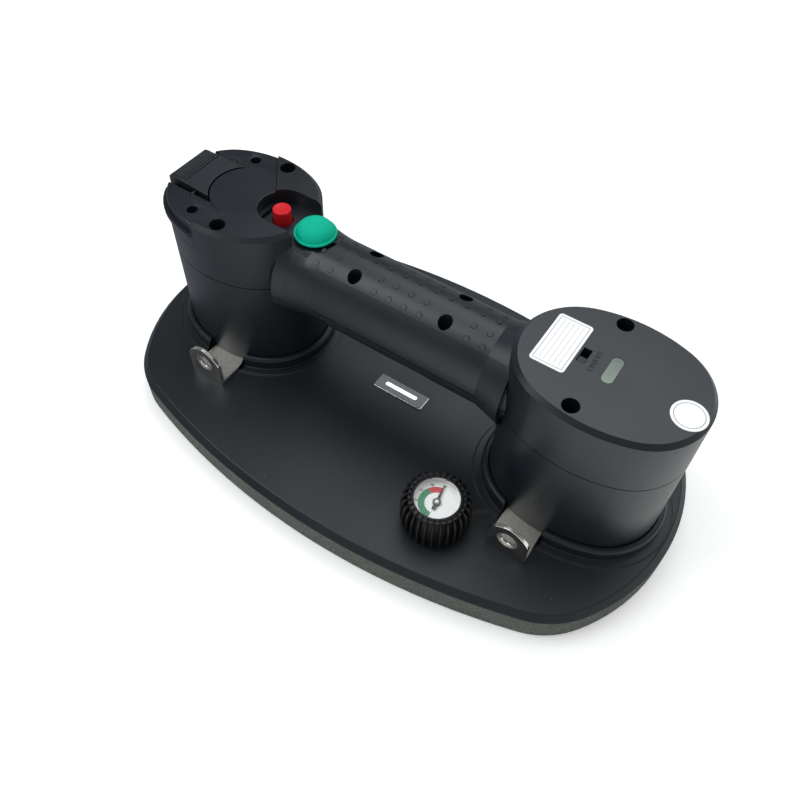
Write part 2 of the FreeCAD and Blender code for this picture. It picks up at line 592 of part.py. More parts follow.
def screw_places():
    """The eight housing screws: x, y, well radius and well floor."""
    for x in ("pump_screw_x", "-battery_screw_x"):
        for side in ("", "-"):
            yield x, f"{side}tower_screw_y", "well_radius", "well_floor"
    for x in ("bulkhead_x", "-bulkhead_x"):
        for side in ("", "-"):
            yield x, f"{side}handle_screw_y", "handle_well_radius", "handle_well_floor"


def make_lower_housing():
    """One moulding: both towers below the parting line and the under half of the handle."""
    body = new_body("lower_housing")
    lower = lambda inset="0": lambda s: draw_arch(s, "handle_drop", "handle_palm_radius", inset, down=True)
    for tower in TOWERS:
        pad_between(body, PLATE_TOP, "parting_height", lambda s, tower=tower: draw_oval(s, tower))
    handle_run(body, lower(), HANDLE_START, HANDLE_END)
    flare_handle(body, lambda s, inset: lower(inset)(s))
    cut_seam(body)
    for tower in TOWERS:
        pocket_between(body, PLATE_TOP, "parting_height",
                       lambda s, tower=tower: draw_oval(s, tower, "tower_wall"))
    hollow_handle(body, lower("tower_wall"))
    pad_between(body, PLATE_TOP, "parting_height", draw_bay_wall)
    for x in ("pump_screw_x", "-battery_screw_x"):
        for side, foot in (("", PLATE_TOP), ("-", f"{PLATE_TOP} + lug_sheet")):
            pad_between(body, foot, "parting_height",
                        lambda s, x=x, side=side: draw_circle(s, x, f"{side}tower_screw_y", "boss_radius"))
    for x in ("pump_lug_x", "-battery_lug_x"):
        pocket_between(body, PLATE_TOP, f"{PLATE_TOP} + lug_sheet", lambda s, x=x: lug_slot(s, x))
    for x, y, radius, floor in screw_places():
        pocket_between(body, f"{floor} - screw_length - 1", "parting_height", lambda s, x=x, y=y: draw_circle(
            s, x, y, "screw_radius + screw_clearance"))
    under = new_sketch(body, f"{PLATE_TOP} + base_screw_length")
    for x in ("pump_screw_x", "-battery_screw_x"):
        for side in ("", "-"):
            draw_circle(under, x, f"{side}tower_screw_y", "screw_radius + screw_clearance")
    pocket(body, under, "base_screw_length + 1")
    keep(body, "lower_housing")


def draw_recess_wall(sketch):
    """The wall round the button recess, which ends inside the tower's outline."""
    outer = "(recess_radius + recess_wall)"
    corners = [("-recess_x", f"button_y - {outer}"), ("-recess_wall_end", f"button_y - {outer}"),
               ("-recess_wall_end", f"button_y + {outer}"), ("-recess_x", f"button_y + {outer}")]
    draw_outline(sketch, corners, {3: "half"})


def make_upper_housing():
    """The top moulding: tower tops, upper half of the handle, button recess and battery opening."""
    body = new_body("upper_housing")
    upper = lambda inset="0": lambda s: draw_arch(s, "handle_rise", "handle_crown_radius", inset)
    for tower in TOWERS:
        pad_between(body, "parting_height", "top_height", lambda s, tower=tower: draw_oval(s, tower))
        chamfer(body, "tower_bevel", at_level("top_height", TOWERS[tower][0], "60"))
    handle_run(body, upper(), HANDLE_START, HANDLE_END)
    flare_handle(body, lambda s, inset: upper(inset)(s))
    for tower in TOWERS:
        pocket_between(body, "parting_height", ROOF,
                       lambda s, tower=tower: draw_oval(s, tower, "tower_wall"))
    hollow_handle(body, upper("tower_wall"))
    pad_between(body, "parting_height", f"{ROOF} + 0.5", draw_bay_wall)
    # recess walls inside the tower, and the deck that carries both buttons
    pad_between(body, DECK_UNDER, f"{ROOF} + 0.5", draw_recess_wall)
    pad_between(body, DECK_UNDER, "deck_height",
                lambda s: draw_slot(s, "-recess_x", "-dome_x", "button_y", "deck_radius"))
    pocket_between(body, "deck_height", "top_height + 1",
                   lambda s: draw_slot(s, "-recess_x", "-dome_x", "button_y", "recess_radius"))
    pocket_between(body, "pack_split", "top_height + 1", draw_pack_side)
    # screw wells of the towers, closed tubes down to the parting line
    for x, y, radius, floor in screw_places():
        if radius == "well_radius":
            pad_between(body, "parting_height", f"{ROOF} + 0.5", lambda s, x=x, y=y: draw_circle(
                s, x, y, "well_radius + well_wall"))
        pocket_between(body, floor, "top_height + 1",
                       lambda s, x=x, y=y, radius=radius: draw_circle(s, x, y, radius))
        pocket_between(body, "parting_height", f"{floor} + 1", lambda s, x=x, y=y: draw_circle(
            s, x, y, "screw_radius + screw_clearance"))
    # openings for the buttons, the slide switch and the charge window
    pocket_between(body, f"{DECK_UNDER} - 1", "deck_height + 1",
                   lambda s: draw_circle(s, "-release_x", "button_y", "release_radius + 0.3"))
    pocket_between(body, f"{DECK_UNDER} - 1", "deck_height + 1",
                   lambda s: draw_circle(s, "-dome_x", "button_y", "plunger_radius + 0.4"))
    pocket_between(body, f"{ROOF} - 1", "top_height + 1", lambda s: draw_box(
        s, "switch_x - switch_slot_width / 2", "switch_x + switch_slot_width / 2",
        "switch_y - switch_slot_length / 2", "switch_y + switch_slot_length / 2"))
    pocket_between(body, f"{ROOF} - 1", "top_height + 1", draw_window)
    for side in ("", "-"):
        pad_between(body, "board_top", f"{ROOF} + 0.5", lambda s, side=side: draw_circle(
            s, "standoff_x", f"{side}standoff_y", "standoff_radius"))
        low, high = ("microswitch_width / 2", "microswitch_width / 2 + 2")
        edges = (f"button_y + {low}", f"button_y + {high}") if side == "" else \
            (f"button_y - ({high})", f"button_y - ({low})")
        pad_between(body, f"{DECK_UNDER} - 4 - microswitch_height", f"{DECK_UNDER} + 0.5",
                    lambda s, edges=edges: draw_box(s, "-dome_x - 6", "-dome_x + 6", *edges))
    keep(body, "upper_housing")


def draw_window(sketch, gap="0"):
    """The stadium of the charge window, long across the tower."""
    half, round_end = "(window_length / 2 - window_width / 2)", f"(window_width / 2 - ({gap}))"
    corners = [(f"window_x + {round_end}", f"-{half}"), (f"window_x + {round_end}", half),
               (f"window_x - {round_end}", half), (f"window_x - {round_end}", f"-{half}")]
    draw_outline(sketch, corners, {1: "half", 3: "half"})


# ---------------------------------------------------------------- lifting lugs
def make_lug(name, x, screw_x):
    """Bent stainless sheet: a tongue under the tower wall and an upright ear with a countersunk eye."""
    tongue = new_body(name)
    front = f"-lug_reach"
    pad_between(tongue, PLATE_TOP, f"{PLATE_TOP} + lug_sheet", lambda s: draw_box(
        s, f"{x} - lug_width / 2", f"{x} + lug_width / 2", front, "-lug_inner"))
    ear = new_sketch(tongue, "lug_reach - lug_sheet", "XZ_Plane")
    half = "lug_width / 2"
    corners = [(f"{x} - {half}", PLATE_TOP), (f"{x} + {half}", PLATE_TOP),
               (f"{x} + {half}", f"{PLATE_TOP} + lug_shoulder"),
               (x, f"{PLATE_TOP} + lug_height"),
               (f"{x} - {half}", f"{PLATE_TOP} + lug_shoulder")]
    draw_outline(ear, corners, {2: "lug_arch_radius", 3: "lug_arch_radius"})
    pad(tongue, ear, "lug_sheet")
    eye = new_sketch(tongue, "lug_reach + 1", "XZ_Plane")
    draw_circle(eye, x, f"{PLATE_TOP} + lug_hole_height", "lug_hole_radius")
    pocket(tongue, eye, "lug_sheet + 2")
    sink = new_sketch(tongue, "lug_reach", "XZ_Plane")
    draw_circle(sink, x, f"{PLATE_TOP} + lug_hole_height", "lug_sink_radius")
    taper = pocket(tongue, sink, "lug_sink_depth")
    taper.TaperAngle = -math.degrees(math.atan2(value("lug_sink_radius - lug_hole_radius"),
                                                value("lug_sink_depth")))
    bind(taper, TaperAngle="-atan((lug_sink_radius - lug_hole_radius) / lug_sink_depth)")
    hole = new_sketch(tongue, f"{PLATE_TOP} + lug_sheet + 1")
    draw_circle(hole, screw_x, "-tower_screw_y", "screw_radius + screw_clearance")
    pocket(tongue, hole, "lug_sheet + 2")
    keep(tongue, name)


# ---------------------------------------------------------------- screws
def make_screws():
    housing = [screw(f"housing_screw_{n}", x, y, floor, "screw_length")
               for n, (x, y, radius, floor) in enumerate(screw_places())]
    keep(group("housing_screws", housing), "housing_screws")
    places = [(x, f"{side}tower_screw_y") for x in ("pump_screw_x", "-battery_screw_x") for side in ("", "-")]
    base = [screw(f"base_screw_{n}", x, y, PLATE_BOTTOM, "base_screw_length", up=-1)
            for n, (x, y) in enumerate(places)]
    keep(group("base_screws", base), "base_screws")
    cap = [screw(f"cap_screw_{n}", "-cap_screw_x", f"{side}cap_screw_y", "cap_well_floor",
                 "cap_well_floor - pack_split - pack_gap", head_radius="cap_screw_head_radius")
           for n, side in enumerate(("", "-"))]
    keep(group("cap_screws", cap), "cap_screws")


# ---------------------------------------------------------------- battery pack
def draw_cell_block(sketch, grow):
    """A square round four cells, its corners concentric with them."""
    reach = f"(cell_pitch / 2 + cell_radius + ({grow}))"
    flat = "(cell_pitch / 2)"
    turn = f"(cell_radius + ({grow}))"
    corners = [(f"-cells_x - {flat}", f"-{reach}"), (f"-cells_x + {flat}", f"-{reach}"),
               (f"-cells_x + {reach}", f"-{flat}"), (f"-cells_x + {reach}", flat),
               (f"-cells_x + {flat}", reach), (f"-cells_x - {flat}", reach),
               (f"-cells_x - {reach}", flat), (f"-cells_x - {reach}", f"-{flat}")]
    draw_outline(sketch, corners, {1: turn, 3: turn, 5: turn, 7: turn})


PACK_BOTTOM = "(pack_split + pack_gap)"


def draw_latch_end(sketch):
    """Room for the latch's grip block at the tower's outer end."""
    half = "(latch_half_width + latch_slot)"
    draw_box(sketch, "-latch_end_x - 12", "-latch_end_x + latch_block + 0.9", f"cap_y - {half}", f"cap_y + {half}")


def draw_latch_room(sketch):
    """The latch's slot in the lid: open at the outer end, and following the raised disc at the inner one."""
    half = "(latch_half_width + latch_slot)"
    inner = f"(cap_disc_x + sqrt(cap_disc_radius^2 - {half}^2))"
    corners = [("-latch_end_x - 12", f"cap_y - {half}"), (f"-{inner}", f"cap_y - {half}"),
               (f"-{inner}", f"cap_y + {half}"), ("-latch_end_x - 12", f"cap_y + {half}")]
    draw_outline(sketch, corners, {1: "-cap_disc_radius"})


def make_battery_case():
    """The cell tub with the band that closes the tower's outer side."""
    case = new_body("battery_case")
    pad_between(case, PACK_BOTTOM, "band_top", lambda s: draw_oval(s, "battery"))
    pad_between(case, "band_top - band_lip_height", "band_top",
                lambda s: draw_oval(s, "battery", "-band_lip"))
    pocket_between(case, f"{PACK_BOTTOM} - 1", "band_top + 1", lambda s: draw_valve_side(s, "seam_gap"))
    pad_between(case, "case_bottom", f"{PACK_BOTTOM} + band_floor", lambda s: draw_cell_block(s, "case_wall"))
    pocket_between(case, "case_bottom + case_floor", "band_top + 1", lambda s: draw_cell_block(s, "0.15"))
    hollow = new_sketch(case, "band_top + 1")
    draw_band_hollow(hollow)
    pocket(case, hollow, f"band_top + 1 - {PACK_BOTTOM} - band_floor")
    pocket_between(case, "latch_block_bottom - latch_travel", "band_top + 1", draw_latch_end)
    holes = new_sketch(case, f"{PACK_BOTTOM} + band_floor + 1")
    for side in ("", "-"):
        draw_circle(holes, "-cap_screw_x", f"{side}cap_screw_y", "screw_radius + screw_clearance")
    pocket(case, holes, "band_floor + 2")
    keep(case, "battery_case")
    cells = []
    for n, (sx, sy) in enumerate(((1, 1), (-1, 1), (-1, -1), (1, -1))):
        cells.append(cylinder(f"cell_{n}", "cell_radius", "cell_height", f"-cells_x + {sx} * cell_pitch / 2",
                              f"{sy} * cell_pitch / 2", "case_bottom + case_floor"))
    keep(group("battery_cells", cells), "battery_cells")


def draw_band_hollow(sketch):
    """The inside of the band: the tower's oval and the V seam, both moved in by the band's wall."""
    half = "(tower_width / 2 - band_wall)"
    left = "(battery_centre + battery_length / 2 - 14)"
    corners = [(f"-seam_x - 6", "-seam_y"), (f"-seam_x - 6", "seam_y"), ("-seam_end_x - 2", "seam_end_y - 6"),
               ("-seam_end_x - 8", f"{half} - 1.2"), (f"-{left}", "latch_half_width + latch_slot + 2"),
               (f"-{left}", "-(latch_half_width + latch_slot + 2)"), ("-seam_end_x - 8", f"-({half} - 1.2)"),
               ("-seam_end_x - 2", "-(seam_end_y - 6)")]
    draw_outline(sketch, corners[::-1])


def make_battery_cap():
    """The pack's lid: a raised disc, a slot for the latch and two screw wells."""
    cap = new_body("battery_cap")
    pad_between(cap, "band_top", "cap_top", lambda s: draw_oval(s, "battery", "cap_inset"))
    chamfer(cap, "cap_bevel", at_level("cap_top"))
    pad_between(cap, "band_top", "cap_top + cap_disc_height",
                lambda s: draw_circle(s, "-cap_disc_x", "cap_y", "cap_disc_radius"))
    pocket_between(cap, "band_top - 1", "top_height + 1", lambda s: draw_valve_side(s, "seam_gap"))
    pocket_between(cap, "band_top - 1", "top_height + 1",
                   lambda s: draw_slot(s, "-recess_x", "-dome_x", "button_y", "recess_radius"))
    # posts under the screw wells stand on the case's floor
    for side in ("", "-"):
        pad_between(cap, f"{PACK_BOTTOM} + band_floor", "band_top + 0.5", lambda s, side=side: draw_circle(
            s, "-cap_screw_x", f"{side}cap_screw_y", "cap_well_radius + 1.2"))
    slot_half = "(latch_half_width + latch_slot)"
    pocket_between(cap, "latch_pin_height - 2.6", "top_height + 1", draw_latch_room)
    pocket_between(cap, "band_top - 1", "top_height + 1", draw_latch_end)
    for side in ("", "-"):
        pocket_between(cap, "cap_well_floor", "cap_top + 1", lambda s, side=side: draw_circle(
            s, "-cap_screw_x", f"{side}cap_screw_y", "cap_well_radius"))
        pocket_between(cap, f"{PACK_BOTTOM} + band_floor - 1", "cap_well_floor + 1",
                       lambda s, side=side: draw_circle(
                           s, "-cap_screw_x", f"{side}cap_screw_y", "screw_radius + screw_clearance"))
    pin_way = new_sketch(cap, f"{slot_half} + 1.5 - cap_y", "XZ_Plane")
    draw_circle(pin_way, "-latch_pin_x", "latch_pin_height", "latch_pin_radius")
    pocket(cap, pin_way, f"2 * {slot_half} + 3")
    keep(cap, "battery_cap")


def make_latch():
    """The rocking latch: a wedge plate on a pin, with a thick grip block at the tower's outer end."""
    latch = new_body("battery_latch")
    side = new_sketch(latch, "-latch_half_width - cap_y", "XZ_Plane")
    corners = [("-latch_end_x", "latch_block_bottom"), ("-latch_end_x + latch_block", "latch_block_bottom"),
               ("-latch_end_x + latch_block", "latch_inner_top - latch_thickness"),
               ("-latch_pin_x - 2.2", "latch_inner_top - latch_thickness - 0.4"),
               ("-latch_pin_x + 1.8", "latch_inner_top - latch_thickness - 1.4"),
               ("-latch_inner_x", "latch_inner_top - latch_thickness - 0.6"),
               ("-latch_inner_x", "latch_inner_top"),
               ("-latch_end_x + latch_block + 2", "latch_outer_top - 0.3"),
               ("-latch_end_x + 2", "latch_outer_top"),
               ("-latch_end_x", "latch_outer_top - 2")]
    draw_outline(side, corners, {8: "2"})
    pad(latch, side, "2 * latch_half_width")
    # the inner end follows the lid's disc
    room = new_sketch(latch, "top_height + 4")
    draw_circle(room, "-cap_disc_x", "cap_y", "cap_disc_radius + 0.5")
    pocket(latch, room, "20")
    # one long edge falls away in a flat flank
    flank = new_sketch(latch, "-latch_inner_x + 2", "YZ_Plane")
    edge = "(cap_y + latch_half_width)"
    draw_outline(flank, [(f"{edge} - latch_flank", "latch_outer_top + 0.2"), (f"{edge} + 1", "latch_outer_top + 0.2"),
                         (f"{edge} + 1", "latch_outer_top - latch_flank")][::-1])
    pocket(latch, flank, "latch_end_x - latch_inner_x + 4")
    grooves = new_sketch(latch, "latch_half_width - cap_y - 2", "XZ_Plane")
    for n in range(5):
        start = f"(-latch_end_x + 2.4 + {n} * latch_groove_pitch)"
        draw_box(grooves, start, f"{start} + latch_groove_width", "latch_outer_top - 0.1 - latch_groove_depth",
                 "latch_outer_top + 1")
    pocket(latch, grooves, "2 * latch_half_width - 4")
    bore = new_sketch(latch, "latch_half_width - cap_y + 1", "XZ_Plane")
    draw_circle(bore, "-latch_pin_x", "latch_pin_height", "latch_pin_radius + screw_clearance")
    pocket(latch, bore, "2 * latch_half_width + 2")
    keep(latch, "battery_latch")
    pin = cylinder("latch_pin", "latch_pin_radius", "2 * (latch_half_width + latch_slot) + 2.6",
                   "-latch_pin_x", "cap_y - (latch_half_width + latch_slot) - 1.3", "latch_pin_height", "y")
    keep(pin, "latch_pin")


def make_contacts():
    """Sprung terminals in the bay, and the pads they meet on the pack's underside."""
    keep(block("terminal_block", "-cells_x - 12", "-cells_x + 12", "-6", "6", PLATE_TOP,
               f"{PLATE_TOP} + 2.2"), "terminal_block")
    blades, pads = [], []
    for n, x in enumerate(("-cells_x - 7", "-cells_x + 7")):
        blades.append(block(f"blade_{n}", f"{x} - 1.5", f"{x} + 1.5", "-4", "4", f"{PLATE_TOP} + 2.2",
                            "case_bottom - 0.8"))
        pads.append(block(f"pad_{n}", f"{x} - 2", f"{x} + 2", "-4.5", "4.5", "case_bottom - 0.5",
                          "case_bottom"))
    keep(group("terminal_blades", blades), "terminal_blades")
    keep(group("battery_contacts", pads), "battery_contacts")


# ---------------------------------------------------------------- buttons and release valve
def make_release():
    """The red release button, its valve rod, spring and guide."""
    flange_top = f"({DECK_UNDER} - 0.3)"
    flange_bottom = f"({flange_top} - release_flange_height)"
    cap = cylinder("release_cap", "release_radius", f"release_top - {flange_bottom}", "-release_x",
                   "button_y", flange_bottom)
    bevel = doc.addObject("Part::Chamfer", "release_cap_bevel")
    bevel.Base = cap
    doc.recompute()
    rim = [n for n, edge in enumerate(cap.Shape.Edges, start=1)
           if abs(edge.BoundBox.ZMin - value("release_top")) < 0.01 and edge.BoundBox.XLength > 1]
    bevel.Edges = [(n, 0.5, 0.5) for n in rim]
    flange = cylinder("release_flange", "release_flange_radius", "release_flange_height", "-release_x",
                      "button_y", flange_bottom)
    keep(fuse("release_button", [bevel, flange]), "release_button")
    poppet_top = f"({PLATE_BOTTOM} - 0.3)"
    rod = cylinder("valve_rod", "stem_radius", f"{flange_bottom} - {poppet_top}", "-release_x", "button_y",
                   poppet_top)
    poppet = cylinder("valve_poppet", "poppet_radius", "poppet_height", "-release_x", "button_y",
                      f"{poppet_top} - poppet_height")
    keep(fuse("valve_stem", [rod, poppet]), "valve_stem")
    outer = cylinder("guide_outer", "valve_radius", f"valve_top - {PLATE_TOP}", "-release_x", "button_y",
                     PLATE_TOP)
    bore = cylinder("guide_bore", "valve_bore", f"valve_top - {PLATE_TOP} + 2", "-release_x", "button_y",
                    f"{PLATE_TOP} - 1")
    vent = cylinder("guide_vent", "valve_bore * 0.7", "valve_radius + 2", "-release_x", "button_y",
                    f"{PLATE_TOP} + 8", "y")
    keep(cut("valve_guide", outer, [bore, vent]), "valve_guide")
    make_spring(flange_bottom)


def make_spring(top):
    """A compression spring of square wire between the guide's end and the button's flange."""
    turns, steps = 4.5, 12
    radius, wire, foot = value("spring_radius"), value("spring_wire"), value("valve_top") + 0.1
    rise = value(f"{top} - valve_top - 0.2") - 2 * wire
    count = int(turns * steps)
    sections = []
    for n in range(count + 1):
        turn = 2 * math.pi * n / steps
        out = Vector(math.cos(turn), math.sin(turn), 0)
        level = rise * n / count
        corners = [out * (radius + dx * wire / 2) + Vector(0, 0, level + dz * wire / 2)
                   for dx, dz in ((-1, -1), (1, -1), (1, 1), (-1, 1))]
        sections.append(corners)
    faces = []
    for one, two in zip(sections, sections[1:]):
        for k in range(4):
            a, b, c, d = one[k], one[(k + 1) % 4], two[(k + 1) % 4], two[k]
            faces += [Part.Face(Part.makePolygon([a, b, c, a])), Part.Face(Part.makePolygon([a, c, d, a]))]
    for ring in (sections[0], sections[-1]):
        faces.append(Part.Face(Part.makePolygon(ring + [ring[0]])))
    coil = Part.Solid(Part.Shell(faces))
    if coil.Volume < 0:
        coil.reverse()
    spring = doc.addObject("Part::Feature", "release_spring")
    spring.Shape = coil
    spring.Placement = Placement(Vector(-value("release_x"), value("button_y"), foot + wire / 2), Rotation())
    keep(spring, "release_spring")


def make_pump_button():
    """The green rubber dome with its rim bead, and the plunger that works the pump's microswitch."""
    dome = new_body("pump_button")
    half = new_sketch(dome, "-button_y", "XZ_Plane")
    low = "(deck_height + dome_gap)"
    shoulder = f"({low} + dome_flange_height)"
    bead = f"({shoulder} + bead_height)"
    foot = f"({DECK_UNDER} - 3.4)"
    sphere = "((dome_radius^2 + dome_height^2) / (2 * dome_height))"
    rim = "-dome_x + dome_flange_radius"
    corners = [("-dome_x", foot), ("-dome_x + plunger_radius", foot), ("-dome_x + plunger_radius", low),
               (rim, low), (rim, f"{shoulder} + 0.2"), (f"{rim} - bead_width * 0.3", bead),
               (f"{rim} - bead_width * 0.8", bead), (f"{rim} - bead_width", shoulder),
               ("-dome_x + dome_radius", shoulder), ("-dome_x", f"{shoulder} + dome_height")]
    draw_outline(half, corners, {8: sphere})
    turn = dome.newObject("PartDesign::Revolution", "pump_button_turn")
    turn.Profile = half
    axis = half.addGeometry(Part.LineSegment(Vector(-value("dome_x"), 0, 0), Vector(-value("dome_x"), 40, 0)),
                            True)
    half.addConstraint(Sketcher.Constraint("Vertical", axis))
    constrain(half, "DistanceX", (-1, 1, axis, 1), "-dome_x")
    constrain(half, "DistanceY", (-1, 1, axis, 1), "0")
    constrain(half, "DistanceY", (axis, 1, axis, 2), "40")
    turn.ReferenceAxis = (half, ["Axis0"])
    turn.Angle = 360
    keep(dome, "pump_button")
    keep(block("pump_switch", "-dome_x - microswitch_length / 2", "-dome_x + microswitch_length / 2",
               "button_y - microswitch_width / 2", "button_y + microswitch_width / 2",
               f"{DECK_UNDER} - 5.4 - microswitch_height", f"{DECK_UNDER} - 5.4"), "pump_switch")


# ---------------------------------------------------------------- pump
def make_pump():
    """Motor with its rotor, eccentric, rod, frame, diaphragm and head of the vacuum pump."""
    seat = f"({PLATE_TOP} + motor_seat)"
    body = cylinder("motor_body", "motor_radius", "motor_length", "motor_x", "0", seat)
    room = cylinder("motor_room", "motor_radius - motor_wall", "motor_length - 4", "motor_x", "0", f"{seat} + 2")
    bush = cylinder("motor_bush", "3", "5", "motor_x", "0", f"{seat} + 1.5")
    way = cylinder("motor_shaft_way", "shaft_radius + screw_clearance", "motor_length + 2", "motor_x", "0",
                   f"{seat} + 3.5")
    keep(cut("motor_can", fuse("motor_solid", [cut("motor_shell", body, [room]), bush]), [way]), "motor_can")
    shaft = cylinder("shaft", "shaft_radius", "shaft_length + motor_length - 4", "motor_x", "0", f"{seat} + 4")
    rotor = cylinder("rotor", "rotor_radius", "rotor_length", "motor_x", "0", f"{seat} + 9")
    keep(fuse("motor_shaft", [shaft, rotor]), "motor_shaft")
    level = "(stroke_height - eccentric_height / 2)"
    disc = cylinder("eccentric_disc", "eccentric_radius", "eccentric_height", "motor_x + eccentric_offset",
                    "0", level)
    hub = cylinder("eccentric_bore", "shaft_radius", "eccentric_height + 2", "motor_x", "0", f"{level} - 1")
    keep(cut("eccentric", disc, [hub]), "eccentric")
    low = "(stroke_height - rod_thickness / 2)"
    ring = cylinder("rod_ring_outer", "eccentric_radius + rod_ring", "rod_thickness",
                    "motor_x + eccentric_offset", "0", low)
    tip = "(frame_wall_x + frame_plate - rod_gap)"
    arm = block("rod_arm", "motor_x + eccentric_offset", f"{tip} - 2", "-rod_width / 2", "rod_width / 2",
                low, f"{low} + rod_thickness")
    foot = cylinder("rod_foot", "rod_width", "2.5", f"{tip} - 2.5", "0", "stroke_height", "x")
    bore = cylinder("rod_bore", "eccentric_radius + screw_clearance", "rod_thickness + 2",
                    "motor_x + eccentric_offset", "0", f"{low} - 1")
    keep(cut("connecting_rod", fuse("rod_solid", [ring, arm, foot]), [bore]), "connecting_rod")
    floor = block("frame_floor", "motor_x - motor_radius", "frame_wall_x + frame_plate",
                  "-frame_half_width", "frame_half_width", MOTOR_TOP, f"{MOTOR_TOP} + frame_plate")
    wall = block("frame_wall", "frame_wall_x", "frame_wall_x + frame_plate", "-frame_half_width",
                 "frame_half_width", MOTOR_TOP, "frame_top")
    webs = [block(f"frame_web_{n}", "frame_wall_x - 12", "frame_wall_x + 1", y0, y1, MOTOR_TOP, "frame_top - 6")
            for n, (y0, y1) in enumerate((("-frame_half_width", "-frame_half_width + 2"),
                                          ("frame_half_width - 2", "frame_half_width")))]
    shaft_hole = cylinder("frame_shaft_hole", "4", "frame_plate + 2", "motor_x", "0", f"{MOTOR_TOP} - 1")
    rod_hole = cylinder("frame_rod_hole", "rod_width + eccentric_offset + 1.2", "frame_plate + 4",
                        "frame_wall_x - 2", "0", "stroke_height", "x")
    keep(cut("pump_frame", fuse("frame_solid", [floor, wall] + webs), [shaft_hole, rod_hole]), "pump_frame")
    disc_x = "(frame_wall_x + frame_plate)"
    keep(cylinder("diaphragm", "diaphragm_radius", "diaphragm_thickness", disc_x, "0", "stroke_height", "x"),
         "diaphragm")
    head_x = f"({disc_x} + diaphragm_thickness)"
    solid = block("head_solid", head_x, f"{head_x} + head_length", "-head_half_width", "head_half_width",
                  "stroke_height - head_half_height", "stroke_height + head_half_height")
    chamber = cylinder("head_chamber", "diaphragm_radius - 3", "4", f"{head_x} - 1", "0", "stroke_height", "x")
    port = cylinder("head_port", "tube_bore", "head_half_height + 1", "tube_x", "0",
                    "stroke_height - head_half_height - 1")
    keep(cut("pump_head", solid, [chamber, port]), "pump_head")
    tube = cylinder("tube_outer", "tube_radius", f"stroke_height - head_half_height - {PLATE_TOP}", "tube_x",
                    "0", PLATE_TOP)
    inner = cylinder("tube_inner", "tube_bore", f"stroke_height - head_half_height - {PLATE_TOP} + 2",
                     "tube_x", "0", f"{PLATE_TOP} - 1")
    keep(cut("air_tube", tube, [inner]), "air_tube")
    keep(cylinder("inlet_filter", "filter_radius", "filter_height", "tube_x - 7", "0",
                  f"{PLATE_BOTTOM} - rib_height - filter_height"), "inlet_filter")


# ---------------------------------------------------------------- electronics
def make_electronics():
    keep(block("circuit_board", "board_left", "board_right", "-board_half_width", "board_half_width",
               "board_top - board_thickness", "board_top"), "circuit_board")
    body_top = "(board_top + switch_body_height)"
    keep(block("switch_body", "switch_x - 4", "switch_x + 4", "switch_y - 6.5", "switch_y + 6.5",
               "board_top", body_top), "switch_body")
    y0 = "(switch_y - switch_slot_length / 2 + 0.3)"
    runner = block("slider_runner", "switch_x - 3", "switch_x + 3", f"{y0} - 0.6",
                   f"{y0} + knob_length + 0.6", f"{body_top} + 0.3", f"{body_top} + 1.3")
    knob = block("slider_knob", "switch_x - switch_slot_width / 2 + 0.3",
                 "switch_x + switch_slot_width / 2 - 0.3", y0, f"{y0} + knob_length", f"{body_top} + 0.3",
                 "knob_top")
    keep(fuse("power_slider", [runner, knob]), "power_slider")
    window = new_body("status_window")
    pad_between(window, "board_top", "window_top", lambda s: draw_window(s, "0.1"))
    keep(window, "status_window")


# ---------------------------------------------------------------- vacuum gauge
def make_gauge():
    """A dial gauge in a ribbed rubber boot, its stem sealed into the plate."""
    centre = {"x": "gauge_x", "y": "gauge_y"}
    boot_low = PLATE_TOP
    make_boot(boot_low)
    case_top = f"({boot_low} + gauge_case_height - 0.5)"
    case = cylinder("case_solid", "gauge_case_radius - 0.05", "gauge_case_height - 0.5", z=boot_low, **centre)
    bezel = cylinder("case_bezel", "boot_mouth_radius - 0.1", f"boot_height - 0.9 - gauge_case_height + 0.5",
                     z=case_top, **centre)
    inner = cylinder("case_inner", "gauge_bezel_radius - 0.5", "boot_height", z=f"{boot_low} + gauge_case_floor",
                     **centre)
    port = cylinder("case_port", "gauge_port_radius", "gauge_case_floor - 6", z=f"{boot_low} - 0.5", **centre)
    keep(cut("gauge_case", fuse("case_body", [case, bezel]), [inner, port]), "gauge_case")
    stem = cylinder("stem_outer", "gauge_stem_radius", "2.4", z=f"{PLATE_BOTTOM} - 2.4", **centre)
    stem_bore = cylinder("stem_bore", "gauge_port_radius", "4", z=f"{PLATE_BOTTOM} - 3.2", **centre)
    keep(cut("gauge_nut", stem, [stem_bore]), "gauge_nut")
    dial_low = f"({boot_low} + gauge_case_floor)"
    dial_solid = cylinder("dial_disc", "gauge_bezel_radius - 0.5", "dial_thickness", z=dial_low, **centre)
    dial_bore = cylinder("dial_bore", "spindle_radius + spindle_clearance", "3", z=f"{dial_low} - 1", **centre)
    keep(cut("gauge_dial", dial_solid, [dial_bore]), "gauge_dial")
    make_pointer(dial_low)
    lens_top = f"({boot_low} + boot_height - 0.9)"
    keep(cylinder("gauge_lens", "gauge_bezel_radius - 0.5", "lens_thickness", z=f"{lens_top} - lens_thickness",
                  **centre), "gauge_lens")


def turned(body, corners):
    """Revolve a half section, given as (radius, height) pairs, about the body's own axis."""
    sketch = new_sketch(body, "0", "XZ_Plane")
    draw_outline(sketch, corners)
    axis = sketch.addGeometry(Part.LineSegment(Vector(0, 0, 0), Vector(0, 40, 0)), True)
    sketch.addConstraint(Sketcher.Constraint("Vertical", axis))
    sketch.addConstraint(Sketcher.Constraint("Coincident", -1, 1, axis, 1))
    constrain(sketch, "DistanceY", (axis, 1, axis, 2), "40")
    turn = body.newObject("PartDesign::Revolution", body.Name + "_turn")
    turn.Profile = sketch
    turn.ReferenceAxis = (sketch, ["Axis0"])
    turn.Angle = 360


